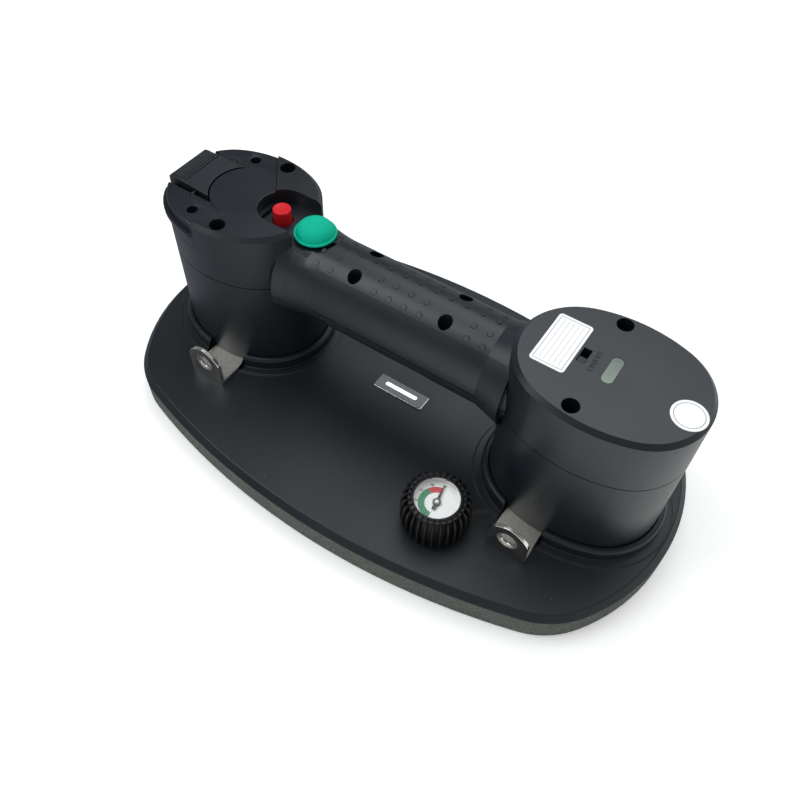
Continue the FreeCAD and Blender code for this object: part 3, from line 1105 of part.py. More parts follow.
def make_boot(low):
    """The rubber boot: a waisted sleeve with bulging blades all round that come to points at the top."""
    boot = new_body("gauge_boot")
    top = f"({low} + boot_height)"
    turned(boot, [("boot_mouth_radius", f"{low} + 3"), ("gauge_case_radius", low),
                  ("boot_base_radius", low), ("boot_core_radius", f"{low} + boot_height * 0.3"),
                  ("boot_core_radius", f"{low} + boot_height * 0.8"), ("boot_mouth_radius + 1", top),
                  ("boot_mouth_radius", top)])
    blade = new_sketch(boot, "-boot_rib_thickness / 2", "XZ_Plane")
    inner = "(boot_mouth_radius + 0.9)"
    draw_outline(blade, [(inner, f"{low} + 0.6"), ("boot_rib_radius - 1.5", f"{low} + 0.6"),
                         ("boot_rib_radius - 0.4", f"{low} + boot_height * 0.22"),
                         ("boot_rib_radius", f"{low} + boot_height * 0.45"),
                         ("boot_rib_radius - 0.3", f"{low} + boot_height * 0.68"),
                         ("boot_rib_radius - 1.4", f"{low} + boot_height * 0.88"), (inner, f"{top} - 0.4")])
    first = pad(boot, blade, "boot_rib_thickness")
    ring = boot.newObject("PartDesign::PolarPattern", "gauge_boot_ring")
    ring.Originals = [first]
    ring.Axis = ([item for item in boot.Origin.OriginFeatures if item.Role == "Z_Axis"][0], [""])
    ring.Angle = 360
    bind(ring, Occurrences="boot_rib_count")
    boot.Tip = ring
    seat = new_sketch(boot, f"{low} + gauge_case_height - 0.5")
    draw_circle(seat, "0", "0", "gauge_case_radius")
    pocket(boot, seat, "gauge_case_height + 1")
    mouth = new_sketch(boot, f"{top} + 1")
    draw_circle(mouth, "0", "0", "boot_mouth_radius")
    pocket(boot, mouth, "boot_height + 2")
    place(boot, "gauge_x", "gauge_y", "0")
    keep(boot, "gauge_boot")


def make_pointer(dial_low):
    """The needle on its spindle, turned to where the scale reads nothing."""
    level = f"({dial_low} + dial_thickness + 0.6)"
    pointer = new_body("gauge_pointer")
    pad_between(pointer, level, f"{level} + 0.5", lambda s: draw_outline(s, [
        ("-pointer_tail", "-0.9"), ("0", "-0.8"), ("pointer_length", "-0.15"),
        ("pointer_length", "0.15"), ("0", "0.8"), ("-pointer_tail", "0.9")]))
    pad_between(pointer, level, f"{level} + 0.8", lambda s: draw_circle(s, "0", "0", "pointer_hub_radius"))
    pad_between(pointer, f"{dial_low} + 0.1", level, lambda s: draw_circle(s, "0", "0", "spindle_radius"))
    pointer.Placement = Placement(Vector(), Rotation(Vector(0, 0, 1), value("pointer_rest")))
    bind(pointer, Placement__Rotation__Angle="pointer_rest")
    place(pointer, "gauge_x", "gauge_y", "0")
    keep(pointer, "gauge_pointer")


# ---------------------------------------------------------------- badge and labels
def draw_label(sketch):
    """A rectangle with round corners."""
    x0, x1 = "(label_x - label_length / 2)", "(label_x + label_length / 2)"
    y0, y1 = "(label_y - label_width / 2)", "(label_y + label_width / 2)"
    r = "label_corner"
    corners = [(f"{x0} + {r}", y0), (f"{x1} - {r}", y0), (x1, f"{y0} + {r}"), (x1, f"{y1} - {r}"),
               (f"{x1} - {r}", y1), (f"{x0} + {r}", y1), (x0, f"{y1} - {r}"), (x0, f"{y0} + {r}")]
    draw_outline(sketch, corners, {1: r, 3: r, 5: r, 7: r})


def make_labels():
    keep(block("badge_plate", "badge_x - badge_length / 2", "badge_x + badge_length / 2",
               "badge_y - badge_width / 2", "badge_y + badge_width / 2", PLATE_TOP,
               f"{PLATE_TOP} + badge_height"), "badge_plate")
    label = new_body("rating_label")
    pad_between(label, "top_height", "top_height + label_thickness", draw_label)
    keep(label, "rating_label")
    keep(cylinder("round_label", "sticker_radius", "label_thickness", "sticker_x", "sticker_y", "top_height"),
         "round_label")


make_seal()
make_base_plate()
make_lower_housing()
make_upper_housing()
make_lug("pump_lug", "pump_lug_x", "pump_screw_x")
make_lug("battery_lug", "-battery_lug_x", "-battery_screw_x")
make_screws()
make_battery_case()
make_battery_cap()
make_latch()
make_contacts()
make_release()
make_pump_button()
make_pump()
make_electronics()
make_gauge()
make_labels()
doc.recompute()

# ---------------------------------------------------------------- checks and export
for item in doc.Objects:
    if "Invalid" in item.State or "Error" in item.State:
        raise SystemExit(f"{item.Name} failed: {item.State}")
for name, item in nodes.items():
    shape = item.Shape
    if shape.isNull() or not shape.isValid() or not shape.Solids:
        raise SystemExit(f"{name} has no valid solid")
for name, item in nodes.items():
    item.Shape.exportStep(f"parts/{name}.step")
    print(f"{name}: {len(item.Shape.Solids)} solid(s), {item.Shape.Volume:.0f} mm3")
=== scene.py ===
import json
import math
import bmesh
import bpy
from mathutils import Matrix, Vector
from mathutils.bvhtree import BVHTree

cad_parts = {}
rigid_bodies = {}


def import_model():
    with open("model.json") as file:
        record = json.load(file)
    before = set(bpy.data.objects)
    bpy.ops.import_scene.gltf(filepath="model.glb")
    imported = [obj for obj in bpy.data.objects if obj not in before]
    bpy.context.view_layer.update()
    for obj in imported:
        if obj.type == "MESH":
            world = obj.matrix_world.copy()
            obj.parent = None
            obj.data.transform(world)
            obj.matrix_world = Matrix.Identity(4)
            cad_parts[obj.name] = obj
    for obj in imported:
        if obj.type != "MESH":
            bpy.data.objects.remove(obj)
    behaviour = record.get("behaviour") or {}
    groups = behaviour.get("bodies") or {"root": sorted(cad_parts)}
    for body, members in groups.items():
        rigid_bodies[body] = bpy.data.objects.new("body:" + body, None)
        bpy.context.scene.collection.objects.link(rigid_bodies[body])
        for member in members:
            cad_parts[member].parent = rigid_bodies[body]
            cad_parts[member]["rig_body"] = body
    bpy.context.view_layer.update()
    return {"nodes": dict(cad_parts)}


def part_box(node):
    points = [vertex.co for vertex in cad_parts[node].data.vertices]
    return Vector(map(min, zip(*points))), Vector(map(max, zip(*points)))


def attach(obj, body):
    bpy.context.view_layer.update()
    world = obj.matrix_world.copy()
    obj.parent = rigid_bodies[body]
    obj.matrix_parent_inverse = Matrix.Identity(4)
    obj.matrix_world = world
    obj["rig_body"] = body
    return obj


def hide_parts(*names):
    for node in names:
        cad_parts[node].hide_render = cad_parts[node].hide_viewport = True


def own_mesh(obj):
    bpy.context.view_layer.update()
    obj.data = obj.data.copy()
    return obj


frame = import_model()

MM = 0.001
WELD = 2e-6

# ---------------------------------------------------------------- seal
# The seal is a thick band of closed-cell foam, cut to the plate's outline and glued under its rim.
# A thin black rubber skin on its lower face meets the tile. The cut side is grey-green and pitted.


def add(tree, kind, inputs=(), **settings):
    """Adds a node, makes its own settings, and gives its sockets a value or a link."""
    node = tree.nodes.new(kind)
    for name, value in settings.items():
        setattr(node, name, value)
    for name, value in dict(inputs).items():
        if isinstance(value, bpy.types.NodeSocket):
            tree.links.new(value, node.inputs[name])
        else:
            node.inputs[name].default_value = value
    return node


def count(tree, operation, first, second=0.0, clamp=False):
    """One sum on values, as a Math node."""
    node = add(tree, "ShaderNodeMath", {0: first, 1: second}, operation=operation, use_clamp=clamp)
    return node.outputs[0]


def spread(tree, value, low, high, out_low=0.0, out_high=1.0):
    """Stretches the stretch low-high of a value to out_low-out_high, and holds it there beyond."""
    return add(tree, "ShaderNodeMapRange", {"Value": value, "From Min": low, "From Max": high,
                                            "To Min": out_low, "To Max": out_high}).outputs[0]


def vector(tree, **parts):
    """A vector put together from X, Y and Z."""
    return add(tree, "ShaderNodeCombineXYZ", parts).outputs[0]


def noise(tree, place, scale, **more):
    """Plain noise, as a value."""
    return add(tree, "ShaderNodeTexNoise", {"Vector": place, "Scale": scale, **more}).outputs[0]


def one_in(tree, size):
    """The scale at which a texture repeats once in a size."""
    return count(tree, "DIVIDE", 1.0, size)


def blend(tree, share, first, second):
    """Mixes two colours by a mask."""
    node = add(tree, "ShaderNodeMix", data_type="RGBA")
    for place, value in ((0, share), (6, first), (7, second)):
        if isinstance(value, bpy.types.NodeSocket):
            tree.links.new(value, node.inputs[place])
        else:
            node.inputs[place].default_value = (*value, 1) if isinstance(value, tuple) else value
    return node.outputs[2]


def add_socket(group, label, way, kind, value=None):
    """Gives a group one named socket."""
    socket = group.interface.new_socket(name=label, in_out=way, socket_type="NodeSocket" + kind)
    if value is not None:
        socket.default_value = value


def new_group(name, inputs, outputs):
    """A shader group with named sockets: returns the tree, its entry node and its exit node."""
    group = bpy.data.node_groups.new(name, "ShaderNodeTree")
    add_socket(group, "Place", "INPUT", "Vector")
    for label, value in inputs.items():
        add_socket(group, label, "INPUT", "Float", value)
    for label in outputs:
        add_socket(group, label, "OUTPUT", "Float")
    return group, group.nodes.new("NodeGroupInput").outputs, group.nodes.new("NodeGroupOutput").inputs


def fitted(tree, group, place, values):
    """Puts a shared group into a material with that material's own values."""
    node = add(tree, "ShaderNodeGroup", node_tree=group)
    tree.links.new(place, node.inputs["Place"])
    for label, value in values.items():
        node.inputs[label].default_value = value
    return node.outputs


def new_finish(name, colour, roughness, metallic=0.0, specular=0.5):
    """A finish with its even values on the shader's own sockets: returns material, tree, shader, place."""
    material = bpy.data.materials.new(name)
    material.use_nodes = True
    tree = material.node_tree
    shader = tree.nodes["Principled BSDF"]
    shader.inputs["Base Color"].default_value = (*colour, 1)
    shader.inputs["Roughness"].default_value = roughness
    shader.inputs["Metallic"].default_value = metallic
    shader.inputs["Specular IOR Level"].default_value = specular
    return material, tree, shader, tree.nodes.new("ShaderNodeTexCoord").outputs["Object"]


def tint(tree, shader, colour):
    """Feeds a mixed colour to the shader."""
    tree.links.new(colour, shader.inputs["Base Color"])


def raise_by(tree, shader, height, depth):
    """Turns a height map into the shader's bump, depth in metres."""
    bump = add(tree, "ShaderNodeBump", {"Height": height, "Distance": depth, "Strength": 1.0})
    tree.links.new(bump.outputs["Normal"], shader.inputs["Normal"])


def dress(material, *nodes):
    """Gives CAD nodes a finish."""
    for node in nodes:
        slots = frame["nodes"][node].data.materials
        slots.clear()
        slots.append(material)


# moulded grain: the fine spark-eroded skin of a moulding, its uneven clouding, and stray dust
moulded_grain, given, gives = new_group(
    "moulded_grain", {"Grain": 0.0007, "Cloud": 0.03, "Dust share": 0.0, "Dust": 0.004},
    ("Height", "Clouding", "Dust"))
inside = moulded_grain
fine = noise(inside, given["Place"], one_in(inside, given["Grain"]), Detail=2.0, Roughness=0.6)
broad = noise(inside, given["Place"], one_in(inside, given["Cloud"]), Detail=4.0, Roughness=0.55)
cells = add(inside, "ShaderNodeTexVoronoi",
            {"Vector": given["Place"], "Scale": one_in(inside, given["Dust"])})
drawn_lot = add(inside, "ShaderNodeSeparateColor", {"Color": cells.outputs["Color"]}).outputs[0]
chosen = count(inside, "LESS_THAN", drawn_lot, given["Dust share"])
speck = spread(inside, cells.outputs["Distance"], 0.03, 0.07, 1.0, 0.0)
inside.links.new(fine, gives["Height"])
inside.links.new(spread(inside, broad, 0.3, 0.7), gives["Clouding"])
inside.links.new(count(inside, "MULTIPLY", chosen, speck), gives["Dust"])


def moulded(name, colour, roughness, grain=0.7, depth=0.02, cloud=30, specular=0.5, dust=0.0,
            dust_colour=(0.35, 0.36, 0.36), shade=0.78):
    """A moulded plastic or rubber: clouded colour and gloss, grain, and dust if any. Sizes in mm."""
    material, tree, shader, place = new_finish(name, colour, roughness, specular=specular)
    skin = fitted(tree, moulded_grain, place, {"Grain": grain * MM, "Cloud": cloud * MM, "Dust share": dust})
    darker = tuple(c * shade for c in colour)
    tone = blend(tree, skin["Clouding"], darker, colour)
    if dust:
        tone = blend(tree, skin["Dust"], tone, dust_colour)
    tint(tree, shader, tone)
    tree.links.new(spread(tree, skin["Clouding"], 0, 1, roughness - 0.04, roughness + 0.04),
                   shader.inputs["Roughness"])
    raise_by(tree, shader, skin["Height"], depth * MM)
    return material


skin_rubber = moulded("seal_skin_rubber", (0.014, 0.014, 0.015), 0.68, grain=0.5, cloud=14, specular=0.3)
dress(skin_rubber, "seal_lip")

FOAM_GREY = (0.115, 0.132, 0.115)
FOAM_PIT_SHADE = (0.03, 0.036, 0.032)
foam, tree, shader, place = new_finish("seal_foam_closed_cell", FOAM_GREY, 0.92, specular=0.2)
# the cut cells are painted dark in their hollows as painted shade, and sunk by a bump for their depth
bubbles = add(tree, "ShaderNodeTexVoronoi", {"Vector": place, "Scale": 1400.0, "Randomness": 1.0})
pit = spread(tree, bubbles.outputs["Distance"], 0.15, 0.55)
skin = fitted(tree, moulded_grain, place, {"Grain": 0.0009, "Cloud": 0.02})
tone = blend(tree, skin["Clouding"], FOAM_GREY, tuple(c * 1.25 for c in FOAM_GREY))
tint(tree, shader, blend(tree, pit, FOAM_PIT_SHADE, tone))
raise_by(tree, shader, pit, 0.18 * MM)
dress(foam, "seal_foam")

# ---------------------------------------------------------------- sealing plate
# The plate is moulded in black glass-filled nylon, with a bevelled rim, a collar round each tower foot
# and ribs beneath. Its fine grain holds a little dust.

HOUSING_BLACK = (0.0065, 0.0105, 0.0150)
PLATE_TOP = 18.0
FLAT_WITHIN, SHARP_FROM = 0.6, 32
plate_plastic = moulded("plate_moulded_black", HOUSING_BLACK, 0.42, grain=0.8, depth=0.022, cloud=45,
                        specular=0.52, dust=0.10, dust_colour=(0.16, 0.165, 0.17))


def welded(node):
    """A CAD node's mesh with its doubled corners joined."""
    form = bmesh.new()
    form.from_mesh(frame["nodes"][node].data)
    bmesh.ops.remove_doubles(form, verts=form.verts, dist=WELD)
    return form


def kept_mesh(form, name, sharp=None):
    """Turns a form into a mesh, smooth but for edges sharper than a number of degrees."""
    mesh = bpy.data.meshes.new(name)
    form.to_mesh(mesh)
    form.free()
    mesh.shade_smooth()
    if sharp:
        mesh.set_sharp_from_angle(angle=math.radians(sharp))
    return mesh


def placed(name, data, finish=None):
    """An object in the scene for a mesh or other data, with a finish if one is given."""
    if finish:
        data.materials.append(finish)
    piece = bpy.data.objects.new(name, data)
    bpy.context.scene.collection.objects.link(piece)
    return piece


def eased(node, name, slot, width, finishes, wanted=None, smooth=28, edge_finish=-1, face_finish=None):
    """A copy of a CAD solid with its sharp edges rounded over by width, as a mould leaves them."""
    source = frame["nodes"][node]
    form = welded(node)
    bmesh.ops.dissolve_limit(form, angle_limit=math.radians(FLAT_WITHIN), verts=form.verts, edges=form.edges)
    weight = form.edges.layers.float.new("bevel_weight_edge")
    for edge in form.edges:
        sharp = len(edge.link_faces) == 2 and edge.calc_face_angle() > math.radians(SHARP_FROM)
        middle = (edge.verts[0].co + edge.verts[1].co) / 2 / MM
        edge[weight] = 1.0 if sharp and (wanted is None or wanted(middle)) else 0.0
    if face_finish:
        for face in form.faces:
            face.material_index = face_finish(face.calc_center_median() / MM, face.normal)
    mesh = kept_mesh(form, name, smooth)
    for finish in finishes:
        mesh.materials.append(finish)
    piece = placed(name, mesh)
    round_over = piece.modifiers.new("round_over", "BEVEL")
    round_over.limit_method = "WEIGHT"
    round_over.width = width * MM
    round_over.segments = 3
    round_over.harden_normals = True
    round_over.use_clamp_overlap = False
    round_over.material = edge_finish
    make_plain(piece)
    settle(piece, source["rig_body"], slot, node)


def make_plain(piece):
    """Keeps what the modifiers make as the piece's own mesh."""
    bpy.context.view_layer.update()
    seen = bpy.context.evaluated_depsgraph_get()
    mesh = bpy.data.meshes.new_from_object(piece.evaluated_get(seen), depsgraph=seen)
    piece.modifiers.clear()
    piece.data = mesh


def settle(piece, body, slot, *stands_for):
    """Fixes a finished piece to its body and hides the CAD nodes that it stands for. The slot is not used."""
    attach(piece, body)
    if stands_for:
        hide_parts(*stands_for)


eased("base_plate", "plate_moulding", "body_plastic", 0.45, (plate_plastic,), lambda p: p.z > 14.2)

# ---------------------------------------------------------------- tower and handle housings
# Two shells in the same nylon meet at the parting line. Each holds half of both towers and of the grip,
# and eight long screws from above pull them together.

shell_plastic = moulded("shell_moulded_black", HOUSING_BLACK, 0.37, grain=0.7, depth=0.02, cloud=35,
                        specular=0.62)
dress(shell_plastic, "lower_housing", "upper_housing")

# the grip's battery end swells into its tower in one sweep, moulded over the shells' straight flare
AXIS_Z = 79.0
CAST_FROM = 45.0
SWEEP_PROUD, SWEEP_SUNK, SWEEP_THICK = 0.04, -0.1, 0.8
shells = bmesh.new()
for node in ("lower_housing", "upper_housing"):
    shells.from_mesh(frame["nodes"][node].data)
skin_of_shells = BVHTree.FromBMesh(shells)


def reach_at(x, angle):
    """How far the shells reach from the grip's axis at one place, in millimetres."""
    outward = Vector((0, math.sin(angle), math.cos(angle)))
    start = Vector((x, 0, AXIS_Z)) * MM + outward * CAST_FROM * MM
    hit = skin_of_shells.ray_cast(start, -outward)
    return CAST_FROM - hit[3] / MM


def swept_end(name, first, last, start=-41.0, end=-56.6, steps=40, stages=16):
    """A closed sheet from start to end along the grip, between two angles from the crown."""
    form = bmesh.new()
    turns = [math.radians(first + (last - first) * i / steps) for i in range(steps + 1)]
    outer, inner = [], []
    for stage in range(stages + 1):
        share = stage / stages
        x = start + (end - start) * share
        rows = [], []
        for i, angle in enumerate(turns):
            from_grip, to_tower = reach_at(start, angle), reach_at(end, angle)
            fade = min(1.0, min(i, steps - i) / 6)
            sweep = from_grip + (to_tower - from_grip) * share ** 1.6
            plain = reach_at(x, angle)
            radius = plain + max(0.0, sweep - plain) * fade ** 2 * (3 - 2 * fade)
            radius += SWEEP_PROUD if 0 < stage < stages and 0 < i < steps else SWEEP_SUNK
            for row, value in zip(rows, (radius, from_grip - SWEEP_THICK)):
                spot = Vector((x, value * math.sin(angle), AXIS_Z + value * math.cos(angle)))
                row.append(form.verts.new(spot * MM))
        outer.append(rows[0])
        inner.append(rows[1])
    for sheet in (outer, inner):
        for a, b in zip(sheet, sheet[1:]):
            for i in range(steps):
                form.faces.new((a[i], a[i + 1], b[i + 1], b[i]))
    for a, b in ((outer[0], inner[0]), (outer[-1], inner[-1])):
        for i in range(steps):
            form.faces.new((a[i], a[i + 1], b[i + 1], b[i]))
    for i in (0, steps):
        for k in range(stages):
            form.faces.new((outer[k][i], outer[k + 1][i], inner[k + 1][i], inner[k][i]))
    bmesh.ops.recalc_face_normals(form, faces=form.faces)
    settle(placed(name, kept_mesh(form, name, 60), shell_plastic), "housing", "body_plastic")


swept_end("grip_sweep_battery_near", -150, -32)
swept_end("grip_sweep_battery_far", 32, 150)
shells.free()

# ---------------------------------------------------------------- lifting lugs
# Each lug is bent from 2 mm stainless sheet, blasted to an even grain. Its sheared edges and the
# countersink of its eye are polished bright, and the tongue is gripped between collar and tower.

drawn_metal, given, gives = new_group("drawn_metal", {"Line": 0.0004, "Length": 0.008, "Pit": 0.0006},
                                      ("Lines", "Pits"))
inside = drawn_metal
across_lines = one_in(inside, given["Line"])
along = vector(inside, X=one_in(inside, given["Length"]), Y=across_lines, Z=across_lines)
stretched = add(inside, "ShaderNodeVectorMath", {0: given["Place"], 1: along}, operation="MULTIPLY")
lines = noise(inside, stretched.outputs[0], 1.0, Detail=3.0)
pits = noise(inside, given["Place"], one_in(inside, given["Pit"]), Detail=3.0, Roughness=0.7)
inside.links.new(spread(inside, lines, 0.3, 0.7), gives["Lines"])
inside.links.new(spread(inside, pits, 0.35, 0.65), gives["Pits"])


def metal(name, colour, roughness, line=0.4, length=8, pit=0.6, drawn=0.5, depth=0.006, shade=0.7):
    """A metal with drawn lines and a blasted grain, mixed by drawn. Sizes in mm."""
    material, tree, shader, place = new_finish(name, colour, roughness, metallic=1.0)
    skin = fitted(tree, drawn_metal, place, {"Line": line * MM, "Length": length * MM, "Pit": pit * MM})
    mixed = add(tree, "ShaderNodeMix", {0: drawn, 2: skin["Pits"], 3: skin["Lines"]}).outputs[0]
    darker = tuple(c * shade for c in colour)
    tint(tree, shader, blend(tree, mixed, darker, colour))
    tree.links.new(spread(tree, mixed, 0, 1, roughness + 0.08, roughness - 0.08),
                   shader.inputs["Roughness"])
    raise_by(tree, shader, mixed, depth * MM)
    return material


blasted = metal("lug_blasted_steel", (0.92, 0.87, 0.78), 0.42, pit=0.6, drawn=0.1, depth=0.03, shade=0.62)
polished = metal("lug_polished_edge", (0.90, 0.90, 0.88), 0.16, line=0.25, length=3, drawn=0.7, depth=0.002,
                 shade=0.9)
# the ear's outer face is a darker copy of the steel: painted shade standing in for its dark reflections
rolled_ear_painted_shade = metal("lug_rolled_ear_painted_shade", (0.60, 0.58, 0.55), 0.17, line=0.3, length=5, drawn=0.6, depth=0.002,
                 shade=0.85)
EAR_STARTS_Y, EAR_TOP_Z = -47.5, 36


def lug_finish(centre, facing):
    """The upright ear's outer face is rolled smooth and darker in colour as painted shade; the eye and its
    countersink are bright.
    """
    if centre.y > EAR_STARTS_Y:
        return 0
    return 2 if facing.y < -0.9 else 1 if abs(facing.y) < 0.8 and centre.z < EAR_TOP_Z else 0


for node in ("pump_lug", "battery_lug"):
    eased(node, node + "_plate", "lug_steel", 0.35, (blasted, polished, rolled_ear_painted_shade), edge_finish=1,
          face_finish=lug_finish)

# ---------------------------------------------------------------- screws
# Cross-head pan screws in black zinc: eight through the shells, four up through the plate and two
# short ones in the battery cap. They are set at the foot of deep wells.


def new_form(name, inputs):
    """A geometry tree with a geometry entry and exit and named inputs: (label, kind, value)."""
    form = bpy.data.node_groups.new(name, "GeometryNodeTree")
    form.is_modifier = True
    add_socket(form, "Geometry", "INPUT", "Geometry")
    for label, kind, value in inputs:
        add_socket(form, label, "INPUT", kind, value)
    add_socket(form, "Geometry", "OUTPUT", "Geometry")
    return form, form.nodes.new("NodeGroupInput").outputs, form.nodes.new("NodeGroupOutput").inputs


def close_form(form, instances, finish, exit_socket, angle=35):
    """Ends a tree: real geometry, smooth but for its sharp edges, with its finish."""
    real = add(form, "GeometryNodeRealizeInstances", {"Geometry": instances}).outputs[0]
    faces = add(form, "GeometryNodeSetShadeSmooth", {"Geometry": real}).outputs[0]
    turn = add(form, "GeometryNodeInputMeshEdgeAngle").outputs["Unsigned Angle"]
    sharp = add(form, "FunctionNodeCompare", {0: turn, 1: math.radians(angle)}, operation="GREATER_THAN")
    edges = add(form, "GeometryNodeSetShadeSmooth",
                {"Geometry": faces, "Selection": sharp.outputs[0], "Shade Smooth": False}, domain="EDGE")
    dressed = add(form, "GeometryNodeSetMaterial", {"Geometry": edges.outputs[0], "Material": finish})
    form.links.new(dressed.outputs[0], exit_socket)


def moved(form, geometry, **changes):
    """Geometry shifted, turned or scaled."""
    return add(form, "GeometryNodeTransform", {"Geometry": geometry, **changes}).outputs[0]


def repeated(form, name, places, values, body, slot, *stands_for, joined=False):
    """Runs a tree on points in mm, or on a line through them, and fixes the plain result to a body."""
    points = bpy.data.meshes.new(name)
    links = [(i, i + 1) for i in range(len(places) - 1)] if joined else []
    points.from_pydata([Vector(p) * MM for p in places], links, [])
    piece = placed(name, points)
    step = piece.modifiers.new("form", "NODES")
    step.node_group = form
    for item in form.interface.items_tree:
        if item.item_type == "SOCKET" and item.in_out == "INPUT" and item.name in values:
            step[item.identifier] = values[item.name]
    make_plain(piece)
    settle(piece, body, slot, *stands_for)


def solids_of(node):
    """The low and high corners, in millimetres, of each solid in a CAD node, in order of place."""
    form = welded(node)
    left, found = set(form.verts), []
    while left:
        group, rim = [], [left.pop()]
        while rim:
            vert = rim.pop()
            group.append(vert.co / MM)
            near = [edge.other_vert(vert) for edge in vert.link_edges]
            rim += [v for v in near if v in left]
            left.difference_update(near)
        found.append([Vector([end(c[i] for c in group) for i in range(3)]) for end in (min, max)])
    form.free()
    return sorted(found, key=lambda corners: [round(c, 1) for c in corners[0]])


HEAD_HEIGHT = 2.2
cross_head, given, gives = new_form("cross_head_screw", [
    ("Head radius", "Float", 2.9 * MM), ("Head height", "Float", HEAD_HEIGHT * MM),
    ("Shank radius", "Float", 1.5 * MM), ("Shank length", "Float", 18 * MM), ("Upside down", "Float", 0.0),
    ("Finish", "Material", None)])
form = cross_head
half = count(form, "MULTIPLY", given["Head height"], 0.5)
wall = add(form, "GeometryNodeMeshCylinder", {"Vertices": 28, "Radius": given["Head radius"], "Depth": half})
wall = moved(form, wall.outputs[0], Translation=vector(form, Z=count(form, "MULTIPLY", half, 0.5)))
crown = add(form, "GeometryNodeMeshUVSphere", {"Segments": 28, "Rings": 12, "Radius": given["Head radius"]})
flat = vector(form, X=0.999, Y=0.999, Z=count(form, "DIVIDE", half, given["Head radius"]))
crown = moved(form, crown.outputs[0], Scale=flat, Translation=vector(form, Z=half))
head = add(form, "GeometryNodeMeshBoolean", operation="UNION")
form.links.new(wall, head.inputs["Mesh 2"])
form.links.new(crown, head.inputs["Mesh 2"])
slit = vector(form, X=count(form, "MULTIPLY", given["Head radius"], 1.15),
              Y=count(form, "MULTIPLY", given["Head radius"], 0.27), Z=given["Head height"])
slit = add(form, "GeometryNodeMeshCube", {"Size": slit}).outputs[0]
above = vector(form, Z=given["Head height"])
slits = [moved(form, slit, Translation=above, Rotation=(0, 0, quarter)) for quarter in (0.0, math.pi / 2)]
recess = add(form, "GeometryNodeMeshBoolean", operation="UNION")
for cutter in slits:
    form.links.new(cutter, recess.inputs["Mesh 2"])
head = add(form, "GeometryNodeMeshBoolean", {"Mesh 1": head.outputs[0], "Mesh 2": recess.outputs[0]},
           operation="DIFFERENCE").outputs[0]
shank = add(form, "GeometryNodeMeshCylinder", {"Vertices": 16, "Radius": given["Shank radius"],
                                               "Depth": given["Shank length"]})
sunk = vector(form, Z=count(form, "MULTIPLY", given["Shank length"], -0.499))
shank = moved(form, shank.outputs[0], Translation=sunk)
whole = add(form, "GeometryNodeJoinGeometry")
form.links.new(head, whole.inputs[0])
form.links.new(shank, whole.inputs[0])
spots = add(form, "GeometryNodeMeshToPoints", {"Mesh": given["Geometry"]}).outputs[0]
twist = add(form, "FunctionNodeRandomValue", {2: 0.0, 3: 1.5, "Seed": 7}, data_type="FLOAT").outputs[1]
turned = vector(form, X=given["Upside down"], Z=twist)
set_in = add(form, "GeometryNodeInstanceOnPoints",
             {"Points": spots, "Instance": whole.outputs[0], "Rotation": turned}).outputs[0]
close_form(form, set_in, given["Finish"], gives[0])

zinc_black = metal("screw_black_zinc", (0.16, 0.16, 0.165), 0.36, pit=0.5, drawn=0.2, depth=0.004)
for node, body, upright in (("housing_screws", "housing", True), ("base_screws", "housing", False),
                            ("cap_screws", "battery", True)):
    shanks = solids_of(node)
    low, high = shanks[0]
    head_radius = (high.x - low.x) / 2
    seats = [((a.x + b.x) / 2, (a.y + b.y) / 2, b.z - HEAD_HEIGHT if upright else a.z + HEAD_HEIGHT)
             for a, b in shanks]
    repeated(cross_head, node + "_cross_head", seats,
             {"Head radius": head_radius * MM, "Shank length": (high.z - low.z - HEAD_HEIGHT) * MM,
              "Upside down": 0.0 if upright else math.pi, "Finish": zinc_black}, body, "screw_steel", node)

# ---------------------------------------------------------------- pump and its motor
# A small motor turns an eccentric under the pump tower. A white acetal rod drives the diaphragm, and
# a cast frame holds the head, whose hose and filter lead down through the plate.

zinc_plate = metal("motor_zinc_plate", (0.62, 0.63, 0.62), 0.3, line=0.3, length=20, drawn=0.6)
cast_alloy = metal("frame_cast_alloy", (0.58, 0.58, 0.6), 0.5, pit=1.2, drawn=0.0, depth=0.03)
bright_wire = metal("spring_bright_wire", (0.62, 0.62, 0.63), 0.22, line=0.15, length=2, drawn=0.8)
acetal = moulded("pump_white_acetal", (0.78, 0.78, 0.75), 0.42, grain=0.5, depth=0.006, cloud=12, shade=0.93)
nylon_black = moulded("small_part_nylon_black", (0.012, 0.012, 0.013), 0.42, grain=0.4, depth=0.01, cloud=8)
hose = moulded("hose_silicone", (0.62, 0.64, 0.63), 0.32, grain=0.9, depth=0.005, cloud=9, shade=0.88)
dress(zinc_plate, "motor_can")
dress(cast_alloy, "pump_frame", "eccentric")
dress(bright_wire, "motor_shaft")
dress(acetal, "pump_head", "connecting_rod", "inlet_filter", "valve_stem")
dress(nylon_black, "power_slider", "switch_body", "pump_switch", "terminal_block", "valve_guide")
dress(hose, "air_tube")

# ---------------------------------------------------------------- circuit board
# The charging board hangs under the pump tower's roof. Green solder mask lies over copper tracks, with
# tinned pads where the wires are soldered.

board, tree, shader, place = new_finish("board_solder_mask", (0.01, 0.12, 0.05), 0.28)
grid = add(tree, "ShaderNodeTexBrick", {"Vector": place, "Scale": 260.0, "Mortar Size": 0.06,
                                        "Brick Width": 1.3, "Row Height": 0.5}, offset=0.4)
tracks = blend(tree, grid.outputs["Fac"], (0.008, 0.10, 0.045), (0.03, 0.22, 0.09))
pads = add(tree, "ShaderNodeTexVoronoi", {"Vector": place, "Scale": 240.0, "Randomness": 0.4})
pad = spread(tree, pads.outputs["Distance"], 0.16, 0.18, 1.0, 0.0)
tint(tree, shader, blend(tree, pad, tracks, (0.65, 0.65, 0.62)))
tree.links.new(pad, shader.inputs["Metallic"])
raise_by(tree, shader, grid.outputs["Fac"], 0.03 * MM)
dress(board, "circuit_board")

# ---------------------------------------------------------------- release button and its spring
# A red acetal button on the deck lets air back under the plate through the valve below it. Its top edge
# is rounded and its face is polished.


